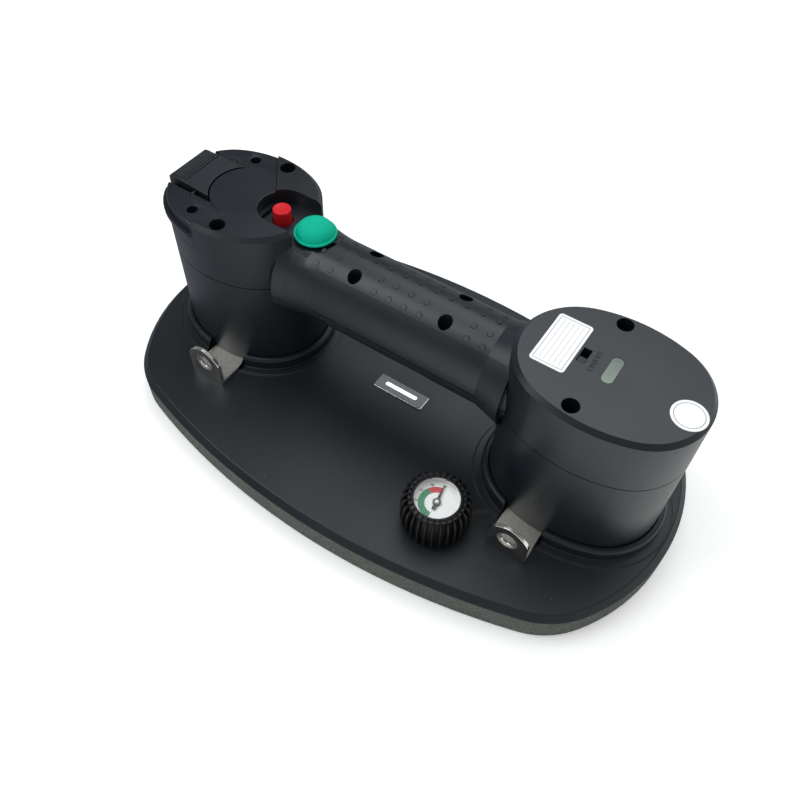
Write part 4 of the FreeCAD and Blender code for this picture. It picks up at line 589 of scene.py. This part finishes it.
def lathe(name, outline, centre, finish, steps=72):
    """Turns an outline of (radius, height) points in millimetres about an upright axis."""
    form = bmesh.new()
    rings = []
    for radius, height in outline:
        turns = [math.tau * i / steps for i in range(steps)] if radius else [0]
        rings.append([form.verts.new(Vector((centre[0] + radius * math.cos(a),
                                             centre[1] + radius * math.sin(a), height)) * MM) for a in turns])
    for lower, upper in zip(rings, rings[1:]):
        for i in range(steps):
            k = (i + 1) % steps
            corners = (lower[i % len(lower)], lower[k % len(lower)],
                       upper[k % len(upper)], upper[i % len(upper)])
            unique = list(dict.fromkeys(corners))
            if len(unique) > 2:
                form.faces.new(unique)
    bmesh.ops.remove_doubles(form, verts=form.verts, dist=WELD)
    bmesh.ops.recalc_face_normals(form, faces=form.faces)
    return placed(name, kept_mesh(form, name, 40), finish)


def arc(centre, radius, start, end, parts=6):
    """Points of an arc in an outline, from start to end degrees."""
    turns = [math.radians(start + (end - start) * i / parts) for i in range(parts + 1)]
    return [(centre[0] + radius * math.cos(a), centre[1] + radius * math.sin(a)) for a in turns]


def middle_of(low, high):
    """The middle of a box on the floor plan, in millimetres."""
    return (low.x + high.x) / 2 / MM, (low.y + high.y) / 2 / MM


low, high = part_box("release_button")
flange_low, button_top = low.z / MM, high.z / MM
centre = middle_of(low, high)
button_radius, flange_radius = 4.45, (high.x - low.x) / 2 / MM
flange_high = flange_low + 2.6
red_acetal = moulded("release_red_acetal", (0.62, 0.010, 0.018), 0.4, grain=0.5, depth=0.004, cloud=9,
                     shade=0.86, specular=0.22)
outline = [(0, flange_low), (flange_radius, flange_low), (flange_radius, flange_high),
           (button_radius, flange_high), (button_radius, button_top - 1.2)]
outline += arc((button_radius - 0.75, button_top - 0.75), 0.75, 0, 90)
outline += [(button_radius - 1.3, button_top - 0.06), (button_radius - 1.6, button_top - 0.22),
            (1.2, button_top - 0.3), (0, button_top - 0.3)]
button = lathe("release_button_turned", outline, centre, red_acetal)
settle(button, "release", "red_plastic", "release_button")

# the return spring stands on the shell
low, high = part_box("release_spring")
coil_mesh = kept_mesh(welded("release_spring"), "release_spring_coil", 40)
coil = placed("release_spring_coil", coil_mesh, bright_wire)
settle(coil, "housing", "spring_steel", "release_spring")
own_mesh(coil)

# ---------------------------------------------------------------- start button
# The green start button is one silicone moulding: a dome with a rolled bead at its foot, pressed over
# a switch under the handle's crown.

silicone = moulded("start_green_silicone", (0.0, 0.44, 0.28), 0.6, grain=0.6, depth=0.006, cloud=10,
                   shade=0.9, specular=0.12)
low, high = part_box("pump_button")
dome_top, foot, bead, bead_radius, plunger = high.z / MM, 98.5, 0.75, 10.25, 2.4
outline = [(0, low.z / MM), (plunger, low.z / MM), (plunger, foot), (bead_radius - bead, foot)]
outline += arc((bead_radius - bead, foot + bead), bead, -90, 150, 12)
dome_foot, dome_radius = foot + bead + 0.2, bead_radius - 1.45 * bead
dome_height = dome_top - dome_foot
outline += [(dome_radius * math.cos(math.radians(a)), dome_foot + dome_height * math.sin(math.radians(a)))
            for a in range(4, 91, 5)] + [(0, dome_top)]
settle(lathe("start_dome", outline, middle_of(low, high), silicone), "start_button", "green_rubber",
       "pump_button")

# ---------------------------------------------------------------- battery pack
# The pack lifts out of its tower in one piece: a case with four cells in shrink wrap, a cap screwed on
# top, and a sprung latch that rocks on a steel pin.


def slab(name, centre, length, width, low, high, corner, finish, edge):
    """A flat plate with rounded corners and eased edges. Sizes in mm."""
    form = bmesh.new()
    outline = []
    for side_x, side_y, start in ((1, 1, 0), (-1, 1, 90), (-1, -1, 180), (1, -1, 270)):
        hub_at = (centre[0] + side_x * (length / 2 - corner), centre[1] + side_y * (width / 2 - corner))
        outline += arc(hub_at, corner, start, start + 90, 5)
    face = form.faces.new([form.verts.new(Vector((x, y, low)) * MM) for x, y in outline])
    grown = bmesh.ops.extrude_face_region(form, geom=[face])["geom"]
    bmesh.ops.translate(form, vec=Vector((0, 0, high - low)) * MM,
                        verts=[v for v in grown if hasattr(v, "co")])
    bmesh.ops.recalc_face_normals(form, faces=form.faces)
    piece = placed(name, kept_mesh(form, name), finish)
    ease = piece.modifiers.new("ease", "BEVEL")
    ease.width = edge * MM
    ease.segments = 3
    ease.limit_method = "ANGLE"
    ease.angle_limit = math.radians(50)
    ease.harden_normals = True
    make_plain(piece)
    return piece


dress(shell_plastic, "battery_case")
eased("battery_cap", "cap_moulding", "body_plastic", 0.35, (shell_plastic,), lambda p: p.z > 98.5, smooth=35)
eased("battery_latch", "latch_moulding", "body_plastic", 0.25, (shell_plastic,), lambda p: p.z > 99,
      smooth=30)
# a strip beside the latch closes its slot on the side away from the lugs
strip = slab("latch_slot_strip", (-115.4, 16.12), 19.6, 1.75, 99.0, 103.55, 0.3, shell_plastic, 0.2)
settle(strip, "battery", "body_plastic")

wrap, tree, shader, place = new_finish("cell_shrink_wrap", (0.02, 0.10, 0.28), 0.25)
skin = fitted(tree, moulded_grain, place, {"Grain": 0.002, "Cloud": 0.006})
tint(tree, shader, blend(tree, skin["Clouding"], (0.015, 0.08, 0.24), (0.03, 0.13, 0.33)))
raise_by(tree, shader, skin["Clouding"], 0.05 * MM)
dress(wrap, "battery_cells")
brass = metal("contact_brass", (0.70, 0.50, 0.20), 0.28, line=0.2, length=3, drawn=0.7)
dress(brass, "terminal_blades", "battery_contacts", "gauge_nut")
dress(metal("latch_pin_blackened", (0.05, 0.05, 0.05), 0.45, line=0.2, length=5, drawn=0.8), "latch_pin")

# ---------------------------------------------------------------- slide switch legend
# The slide switch stands in a slot of the pump tower's roof. The words beside it are moulded proud of
# the shell, so they are the same plastic.


def lettering(words, size, offset, extrude, shift):
    """A mesh of a few letters, centred and moved into place. Size, offset and extrude in mm."""
    text = bpy.data.curves.new(words, "FONT")
    text.body = words
    text.size = size * MM
    text.offset = offset * MM
    text.extrude = extrude * MM
    text.align_x = text.align_y = "CENTER"
    carrier = placed(words, text)
    bpy.context.view_layer.update()
    seen = bpy.context.evaluated_depsgraph_get()
    mesh = bpy.data.meshes.new_from_object(carrier.evaluated_get(seen), depsgraph=seen)
    bpy.data.objects.remove(carrier)
    mesh.transform(shift)
    mesh.materials.clear()
    return mesh


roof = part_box("upper_housing")[1].z
shift = Matrix.Translation((88.6 * MM, 0.1 * MM, roof + 0.05 * MM)) @ Matrix.Rotation(math.pi / 2, 4, "Z")
words = placed("switch_legend", lettering("ON/OFF", 3.2, 0.02, 0.11, shift), nylon_black)
settle(words, "housing", "black_part")

# ---------------------------------------------------------------- charge window
# A frosted polycarbonate light guide shows the charge. It is pale green with painted light,
# lighter towards the near side and darker towards the far side.

frosted, tree, shader, place = new_finish("window_frosted_green", (0.25, 0.34, 0.28), 0.3)
low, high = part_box("status_window")
depth_of = add(tree, "ShaderNodeSeparateXYZ", {"Vector": place})
# painted light: the green runs from lighter on the near side to darker on the far side, softly wobbled
fade = spread(tree, depth_of.outputs["Y"], low.y, high.y)
painted_light_wobble = noise(tree, place, 350.0, Detail=1.0)
fade = count(tree, "ADD", fade, spread(tree, painted_light_wobble, 0.3, 0.7, -0.15, 0.15), clamp=True)
tint(tree, shader, blend(tree, fade, (0.17, 0.21, 0.15), (0.075, 0.105, 0.09)))
shader.inputs["Coat Weight"].default_value = 0.4
dress(frosted, "status_window")

# ---------------------------------------------------------------- vacuum gauge
# The gauge screws into the plate inside a ribbed rubber boot. A bright bezel holds the lens over a
# printed dial, on which a small pointer swings.

boot_rubber = moulded("boot_black_rubber", (0.007, 0.007, 0.008), 0.45, grain=0.6, depth=0.015, cloud=10,
                      specular=0.42)
dress(boot_rubber, "diaphragm")

GAUGE_AT = (52.5, -53.5)
SLEEVE = [(13.3, 18.0), (13.8, 18.0), (13.9, 20.5), (14.0, 24.5), (13.9, 28.5), (13.6, 31.8), (13.35, 35.0),
          (12.9, 37.0), (11.9, 37.75), (11.0, 37.95), (10.7, 37.9), (10.6, 37.45), (13.3, 37.45),
          (13.3, 18.0)]
settle(lathe("boot_sleeve", SLEEVE, GAUGE_AT, boot_rubber, 84), "housing", "boot_rubber", "gauge_boot")

boot_fins, given, gives = new_form("boot_fins", [
    ("Fins", "Int", 28), ("Half thickness", "Float", 0.62 * MM), ("Half depth", "Float", 1.35 * MM),
    ("Tip", "Float", 0.4), ("Centre", "Vector", (0.0, 0.0, 0.0)), ("Finish", "Material", None)])
form = boot_fins
spine = add(form, "GeometryNodeMeshToCurve", {"Mesh": given["Geometry"]}).outputs[0]
length_at = add(form, "GeometryNodeSplineParameter").outputs["Factor"]
swell = add(form, "ShaderNodeMapRange", {"Value": length_at, "From Min": 0.0, "From Max": 0.22,
                                         "To Min": given["Tip"], "To Max": 1.0},
            interpolation_type="SMOOTHSTEP").outputs[0]
spine = add(form, "GeometryNodeSetCurveRadius", {"Curve": spine, "Radius": swell}).outputs[0]
section = add(form, "GeometryNodeCurvePrimitiveCircle", {"Resolution": 12, "Radius": 1.0}).outputs[0]
section = moved(form, section, Scale=vector(form, X=given["Half thickness"], Y=given["Half depth"], Z=1.0))
fin = add(form, "GeometryNodeCurveToMesh", {"Curve": spine, "Profile Curve": section, "Fill Caps": True,
                                            "Scale": swell}).outputs[0]
spots = add(form, "GeometryNodePoints", {"Count": given["Fins"], "Position": given["Centre"]}).outputs[0]
step_angle = count(form, "DIVIDE", math.tau, given["Fins"])
number_of = add(form, "GeometryNodeInputIndex").outputs[0]
turned = vector(form, Z=count(form, "MULTIPLY", number_of, step_angle))
ring_of = add(form, "GeometryNodeInstanceOnPoints", {"Points": spots, "Instance": fin, "Rotation": turned})
close_form(form, ring_of.outputs[0], given["Finish"], gives[0], angle=50)
SPINE = [(11.3, 0, 37.85), (12.5, 0, 37.9), (13.7, 0, 37.2), (14.6, 0, 35.4), (15.1, 0, 32.2),
         (15.3, 0, 28.4), (15.3, 0, 24.6), (14.9, 0, 21.2), (14.4, 0, 19.3)]
DIAL_AT = (GAUGE_AT[0] * MM, GAUGE_AT[1] * MM, 0)
repeated(boot_fins, "boot_ribs", SPINE, {"Centre": tuple(float(c) for c in DIAL_AT), "Finish": boot_rubber},
         "housing", "boot_rubber", joined=True)
bezel = metal("bezel_chromed", (0.8, 0.8, 0.8), 0.12, line=0.2, length=4, drawn=0.8, depth=0.001, shade=0.92)
dress(bezel, "gauge_case")

dial, tree, shader, place = new_finish("dial_printed", (0.88, 0.88, 0.86), 0.5)


def from_axis(tree, centred):
    """How far a centred place lies from its upright axis, in millimetres."""
    flat = add(tree, "ShaderNodeVectorMath", {0: centred, 1: (1, 1, 0)}, operation="MULTIPLY").outputs[0]
    length = add(tree, "ShaderNodeVectorMath", {0: flat}, operation="LENGTH").outputs["Value"]
    return count(tree, "DIVIDE", length, MM)


def about(tree, place, middle):
    """A place measured from a middle in metres."""
    return add(tree, "ShaderNodeMapping", {"Vector": place, "Location": tuple(-c for c in middle)}).outputs[0]


def within(tree, value, low, high, soft):
    """A mask that is 1 where a value lies between two limits, with a soft border."""
    rise = spread(tree, value, low - soft, low + soft)
    fall = spread(tree, value, high - soft, high + soft, 1.0, 0.0)
    return count(tree, "MULTIPLY", rise, fall)


# the scale runs clockwise from its start to its end, green up to the border and red beyond
SCALE_END, RED_BORDER, SCALE_START = 99, 148, 274
centred = about(tree, place, DIAL_AT)
flat_place = add(tree, "ShaderNodeSeparateXYZ", {"Vector": centred})
turn = count(tree, "DEGREES", count(tree, "ARCTAN2", flat_place.outputs["Y"], flat_place.outputs["X"]))
turn = count(tree, "MODULO", count(tree, "ADD", turn, 360.0), 360.0)
reach = from_axis(tree, centred)
ring = within(tree, reach, 5.5, 8.6, 0.05)
tone = (0.97, 0.97, 0.94)
for first, last, colour in ((RED_BORDER, SCALE_START, (0.012, 0.24, 0.10)),
                            (SCALE_END, RED_BORDER, (0.60, 0.010, 0.018))):
    sector = count(tree, "MULTIPLY", ring, within(tree, turn, first, last, 0.4))
    tone = blend(tree, sector, tone, colour)
tick = count(tree, "PINGPONG", count(tree, "SUBTRACT", turn, SCALE_END), 8.75)
tick = spread(tree, tick, 0.5, 0.9, 1.0, 0.0)
scale_part = within(tree, turn, 98.3, 274.7, 0.2)
tick = count(tree, "MULTIPLY", count(tree, "MULTIPLY", tick, scale_part), within(tree, reach, 4.6, 5.2, 0.05))
tone = blend(tree, tick, tone, (0.03, 0.03, 0.03))
tint(tree, shader, tone)
dress(dial, "gauge_dial")

needle = moulded("pointer_lacquer", (0.02, 0.02, 0.02), 0.4, grain=0.3, depth=0.003, cloud=4)
dress(needle, "gauge_pointer")
hub, tree, shader, place = new_finish("pointer_hub_cap", (0.4, 0.38, 0.36), 0.35)
boss = within(tree, from_axis(tree, about(tree, place, DIAL_AT)), -1.0, 0.85, 0.08)
tint(tree, shader, blend(tree, boss, (0.13, 0.125, 0.12), (0.8, 0.8, 0.78)))
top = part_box("gauge_pointer")[1].z / MM
cap_outline = [(0, top - 0.1), (1.75, top - 0.1), (1.75, top + 0.15), (1.5, top + 0.35), (0.95, top + 0.4),
               (0.85, top + 0.3), (0, top + 0.3)]
settle(lathe("pointer_cap", cap_outline, GAUGE_AT, hub, 40), "pointer", "needle")

ink, tree, shader, place = new_finish("dial_ink", (0.025, 0.025, 0.025), 0.6)
tint(tree, shader, blend(tree, noise(tree, place, 2500.0), (0.015, 0.015, 0.015), (0.05, 0.05, 0.05)))
FIGURE_RADIUS = 9.6
dial_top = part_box("gauge_dial")[1].z
form = bmesh.new()
for number, at in ((0, 274), (5, 239), (10, 204), (15, 169), (20, 134), (25, 99)):
    spot = (DIAL_AT[0] + FIGURE_RADIUS * MM * math.cos(math.radians(at)),
            DIAL_AT[1] + FIGURE_RADIUS * MM * math.sin(math.radians(at)), dial_top + 0.03 * MM)
    shift = Matrix.Translation(spot) @ Matrix.Rotation(math.radians(7), 4, "Z")
    form.from_mesh(lettering(str(number), 1.7, 0.05, 0.0, shift))
mesh = bpy.data.meshes.new("dial_figures")
form.to_mesh(mesh)
form.free()
figures = placed("dial_figures", mesh, ink)
settle(figures, "housing", "dial")

lens, tree, shader, place = new_finish("lens_clear", (1.0, 1.0, 1.0), 0.02)
shader.inputs["Transmission Weight"].default_value = 1.0
shader.inputs["IOR"].default_value = 1.25
clear = add(tree, "ShaderNodeBsdfTransparent", {"Color": (1, 1, 1, 1)})
rays = add(tree, "ShaderNodeLightPath")
passing = count(tree, "MAXIMUM", rays.outputs["Is Shadow Ray"], rays.outputs["Is Diffuse Ray"])
both = add(tree, "ShaderNodeMixShader", {0: passing, 1: shader.outputs[0], 2: clear.outputs[0]})
tree.links.new(both.outputs[0], tree.nodes["Material Output"].inputs["Surface"])
dress(lens, "gauge_lens")

# ---------------------------------------------------------------- labels and nameplate
# A white film label with a plain ruled form and a round inspection sticker lie on the pump tower, and
# a blank gloss nameplate with a bright rim is glued to the plate.


def in_box(tree, place, low, high, inset, soft=0.06):
    """A mask that is 1 inside a flat box of two corners in metres, drawn in by inset millimetres."""
    parts = add(tree, "ShaderNodeSeparateXYZ", {"Vector": place})
    masks = [within(tree, count(tree, "DIVIDE", parts.outputs[axis], MM), low[axis] / MM + inset,
                    high[axis] / MM - inset, soft) for axis in (0, 1)]
    return count(tree, "MULTIPLY", *masks)


def new_film(name):
    """White printed film, a little uneven."""
    material, tree, shader, place = new_finish(name, (0.9, 0.9, 0.9), 0.5, specular=0.25)
    skin = fitted(tree, moulded_grain, place, {"Grain": 0.0012, "Cloud": 0.01})
    raise_by(tree, shader, skin["Clouding"], 0.02 * MM)
    tone = blend(tree, skin["Clouding"], (0.86, 0.86, 0.86), (0.92, 0.92, 0.92))
    return material, tree, shader, place, tone


form_film, tree, shader, place, tone = new_film("rating_film")
low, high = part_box("rating_label")
HALF_ROW = 1.075
outside, within_line = in_box(tree, place, low, high, 1.2), in_box(tree, place, low, high, 1.42)
frame_line = count(tree, "SUBTRACT", outside, within_line)
parts = add(tree, "ShaderNodeSeparateXYZ", {"Vector": place})
from_edge = count(tree, "DIVIDE", count(tree, "SUBTRACT", parts.outputs["X"], low.x + 1.3 * MM), MM)
row = count(tree, "PINGPONG", from_edge, HALF_ROW)
rule = count(tree, "MULTIPLY", spread(tree, row, 0.05, 0.11, 1.0, 0.0), in_box(tree, place, low, high, 2.4))
printed = count(tree, "MAXIMUM", frame_line, count(tree, "MULTIPLY", rule, 0.7))
tint(tree, shader, blend(tree, printed, tone, (0.12, 0.12, 0.13)))
dress(form_film, "rating_label")

round_film, tree, shader, place, tone = new_film("inspection_film")
low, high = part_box("round_label")
thin_ring = within(tree, from_axis(tree, about(tree, place, (low + high) / 2)), 6.0, 6.25, 0.06)
tint(tree, shader, blend(tree, thin_ring, tone, (0.15, 0.15, 0.16)))
dress(round_film, "round_label")

gloss_black, tree, shader, place = new_finish("nameplate_gloss_black", (0.006, 0.006, 0.007), 0.08)
skin = fitted(tree, moulded_grain, place, {"Grain": 0.003, "Cloud": 0.012})
tint(tree, shader, blend(tree, skin["Clouding"], (0.004, 0.004, 0.005), (0.009, 0.009, 0.01)))
shader.inputs["Coat Weight"].default_value = 0.6

NAMEPLATE_AT = (-1.9, -0.2)
rim = slab("nameplate_rim", NAMEPLATE_AT, 29.4, 9.0, PLATE_TOP, PLATE_TOP + 0.95, 0.8, bezel, 0.3)
settle(rim, "housing", "badge", "badge_plate")
field = slab("nameplate_field", NAMEPLATE_AT, 28.75, 8.35, PLATE_TOP + 0.3, PLATE_TOP + 1.1, 0.5, gloss_black,
             0.12)
settle(field, "housing", "badge")
bar = slab("nameplate_bar", NAMEPLATE_AT, 19.5, 2.6, PLATE_TOP + 0.9, PLATE_TOP + 1.35, 1.2, bezel, 0.2)
settle(bar, "housing", "badge")

# ---------------------------------------------------------------- grip nubs
# Small round nubs are moulded on the handle's crown in straight rows, so that a wet glove holds. The rows
# beside the crown leave room for the screw wells.

CROWN_RADIUS, CROWN_HEIGHT = 19.0, 79.5
NUB_SINK = 0.12
grip_nub, given, gives = new_form("grip_nub", [
    ("Foot radius", "Float", 1.55 * MM), ("Top radius", "Float", 1.25 * MM), ("Height", "Float", 0.42 * MM),
    ("Axis height", "Float", CROWN_HEIGHT * MM), ("Finish", "Material", None)])
form = grip_nub
nub = add(form, "GeometryNodeMeshCone", {"Vertices": 20, "Radius Top": given["Top radius"],
                                         "Radius Bottom": given["Foot radius"], "Depth": given["Height"]})
where = add(form, "GeometryNodeInputPosition").outputs[0]
axis_at = vector(form, Z=given["Axis height"])
outward = add(form, "ShaderNodeVectorMath", {0: where, 1: axis_at}, operation="SUBTRACT").outputs[0]
outward = add(form, "ShaderNodeVectorMath", {0: outward, 1: (0, 1, 1)}, operation="MULTIPLY").outputs[0]
lean = add(form, "FunctionNodeAlignRotationToVector", {"Vector": outward}, axis="Z").outputs[0]
spots = add(form, "GeometryNodeMeshToPoints", {"Mesh": given["Geometry"]}).outputs[0]
studded = add(form, "GeometryNodeInstanceOnPoints",
              {"Points": spots, "Instance": nub.outputs[0], "Rotation": lean}).outputs[0]
close_form(form, studded, given["Finish"], gives[0], angle=30)

places = []
reach = CROWN_RADIUS - NUB_SINK
for degrees in (35, 15, -8, -28):
    lean_angle = math.radians(degrees)
    for column in range(-44, 45, 8):
        if degrees == -8 or abs(column) not in (20, 28):
            places.append((column, -reach * math.sin(lean_angle),
                           CROWN_HEIGHT + reach * math.cos(lean_angle)))
repeated(grip_nub, "grip_nubs", places, {"Finish": shell_plastic}, "housing", "body_plastic")

# ---------------------------------------------------------------- stage
# A plain pale floor under a white tent, a large softbox behind and above, a second one to the front
# left, and a camera above the gauge side.

FLOOR_REACH = 4.0
floor_mesh = bpy.data.meshes.new("floor")
corners = ((-1, -1), (1, -1), (1, 1), (-1, 1))
floor_mesh.from_pydata([(x * FLOOR_REACH, y * FLOOR_REACH, 0) for x, y in corners], [], [(0, 1, 2, 3)])
floor = placed("floor", floor_mesh)
floor.location.z = -0.0002
card = bpy.data.materials.new("floor_card")
card.use_nodes = True
tree = card.node_tree
tree.nodes.clear()
rays = add(tree, "ShaderNodeLightPath")
place = add(tree, "ShaderNodeTexCoord").outputs["Object"]
parts = add(tree, "ShaderNodeSeparateXYZ", {"Vector": place})
# in reflections the floor greys towards the battery side
along = count(tree, "SUBTRACT", parts.outputs["X"], count(tree, "MULTIPLY", parts.outputs["Y"], 0.5))
graded = blend(tree, spread(tree, along, -0.065, 0.135), (0.28, 0.29, 0.31), (1.0, 1.0, 0.98))
paper = blend(tree, rays.outputs["Is Glossy Ray"], (0.86, 0.86, 0.85), graded)
matt = add(tree, "ShaderNodeBsdfDiffuse", {"Color": paper})
seen_by = count(tree, "MAXIMUM", rays.outputs["Is Camera Ray"], rays.outputs["Is Transmission Ray"])
away = add(tree, "ShaderNodeVectorMath", {0: place}, operation="LENGTH").outputs["Value"]
strength = count(tree, "MULTIPLY", seen_by, spread(tree, away, 0.5, 2.2, 0.28, 0.55))
lift = add(tree, "ShaderNodeEmission", {"Color": (1, 1, 1, 1), "Strength": strength})
both = add(tree, "ShaderNodeAddShader", {0: matt.outputs[0], 1: lift.outputs[0]})
add(tree, "ShaderNodeOutputMaterial", {"Surface": both.outputs[0]})
floor_mesh.materials.append(card)

world = bpy.data.worlds.new("studio")
bpy.context.scene.world = world
world.use_nodes = True
tree = world.node_tree
tree.nodes.clear()
rays = add(tree, "ShaderNodeLightPath")
seen_by = count(tree, "MAXIMUM", rays.outputs["Is Camera Ray"],
                count(tree, "MAXIMUM", rays.outputs["Is Glossy Ray"], rays.outputs["Is Transmission Ray"]))
# in reflections the tent is brightest at the horizon, dim higher up and dimmer on the battery side
upwards = add(tree, "ShaderNodeTexCoord").outputs["Generated"]
facing = add(tree, "ShaderNodeSeparateXYZ", {"Vector": upwards})
horizon = spread(tree, facing.outputs["Z"], 0.05, 0.3, 1.0, 0.22)
horizon = count(tree, "MULTIPLY", horizon, spread(tree, facing.outputs["X"], -0.7, 0.1, 0.35, 1.0))
tent = add(tree, "ShaderNodeMix", {0: rays.outputs["Is Glossy Ray"], 2: 1.0, 3: horizon}).outputs[0]
strength = count(tree, "MULTIPLY", spread(tree, seen_by, 0, 1, 0.62, 1.0), tent)
sky = add(tree, "ShaderNodeBackground", {"Color": (1, 1, 1, 1), "Strength": strength})
add(tree, "ShaderNodeOutputWorld", {"Surface": sky.outputs[0]})

COOL_WHITE = (0.93, 0.98, 1.03)
OBJECT_MIDDLE = Vector((0, 0, 0.06))


def softbox(name, place, width, depth, power):
    """An oblong lamp at a place, in metres, turned to the object."""
    lamp = bpy.data.lights.new(name, "AREA")
    lamp.energy = power
    lamp.color = COOL_WHITE
    lamp.shape = "RECTANGLE"
    lamp.size = width
    lamp.size_y = depth
    stand = placed(name, lamp)
    stand.location = place
    stand.rotation_euler = (OBJECT_MIDDLE - Vector(place)).to_track_quat("-Z", "Y").to_euler()


softbox("softbox_above", (-0.05, 0.45, 1.0), 0.9, 0.8, 4.4)
softbox("softbox_front_left", (-0.5, -0.38, 0.94), 0.5, 0.9, 4.2)

CAMERA_AT = Vector((0.13198, -0.2172, 0.3488))
CAMERA_TURNS = (-31.78, 52.93, 2.56)
yaw, pitch, roll = (math.radians(angle) for angle in CAMERA_TURNS)
ahead = Vector((math.sin(yaw) * math.cos(pitch), math.cos(yaw) * math.cos(pitch), -math.sin(pitch)))
side = Vector((math.cos(yaw), -math.sin(yaw), 0))
top = side.cross(ahead)
side, top = side * math.cos(roll) + top * math.sin(roll), top * math.cos(roll) - side * math.sin(roll)
lens_data = bpy.data.cameras.new("camera")
lens_data.sensor_width = 36
lens_data.lens = 35.8155
camera = placed("camera", lens_data)
rows = [(*row, at) for row, at in zip(zip(side, top, -ahead), CAMERA_AT)]
camera.matrix_world = Matrix(rows + [(0, 0, 0, 1)])
bpy.context.scene.camera = camera
bpy.context.scene.view_settings.view_transform = "Standard"
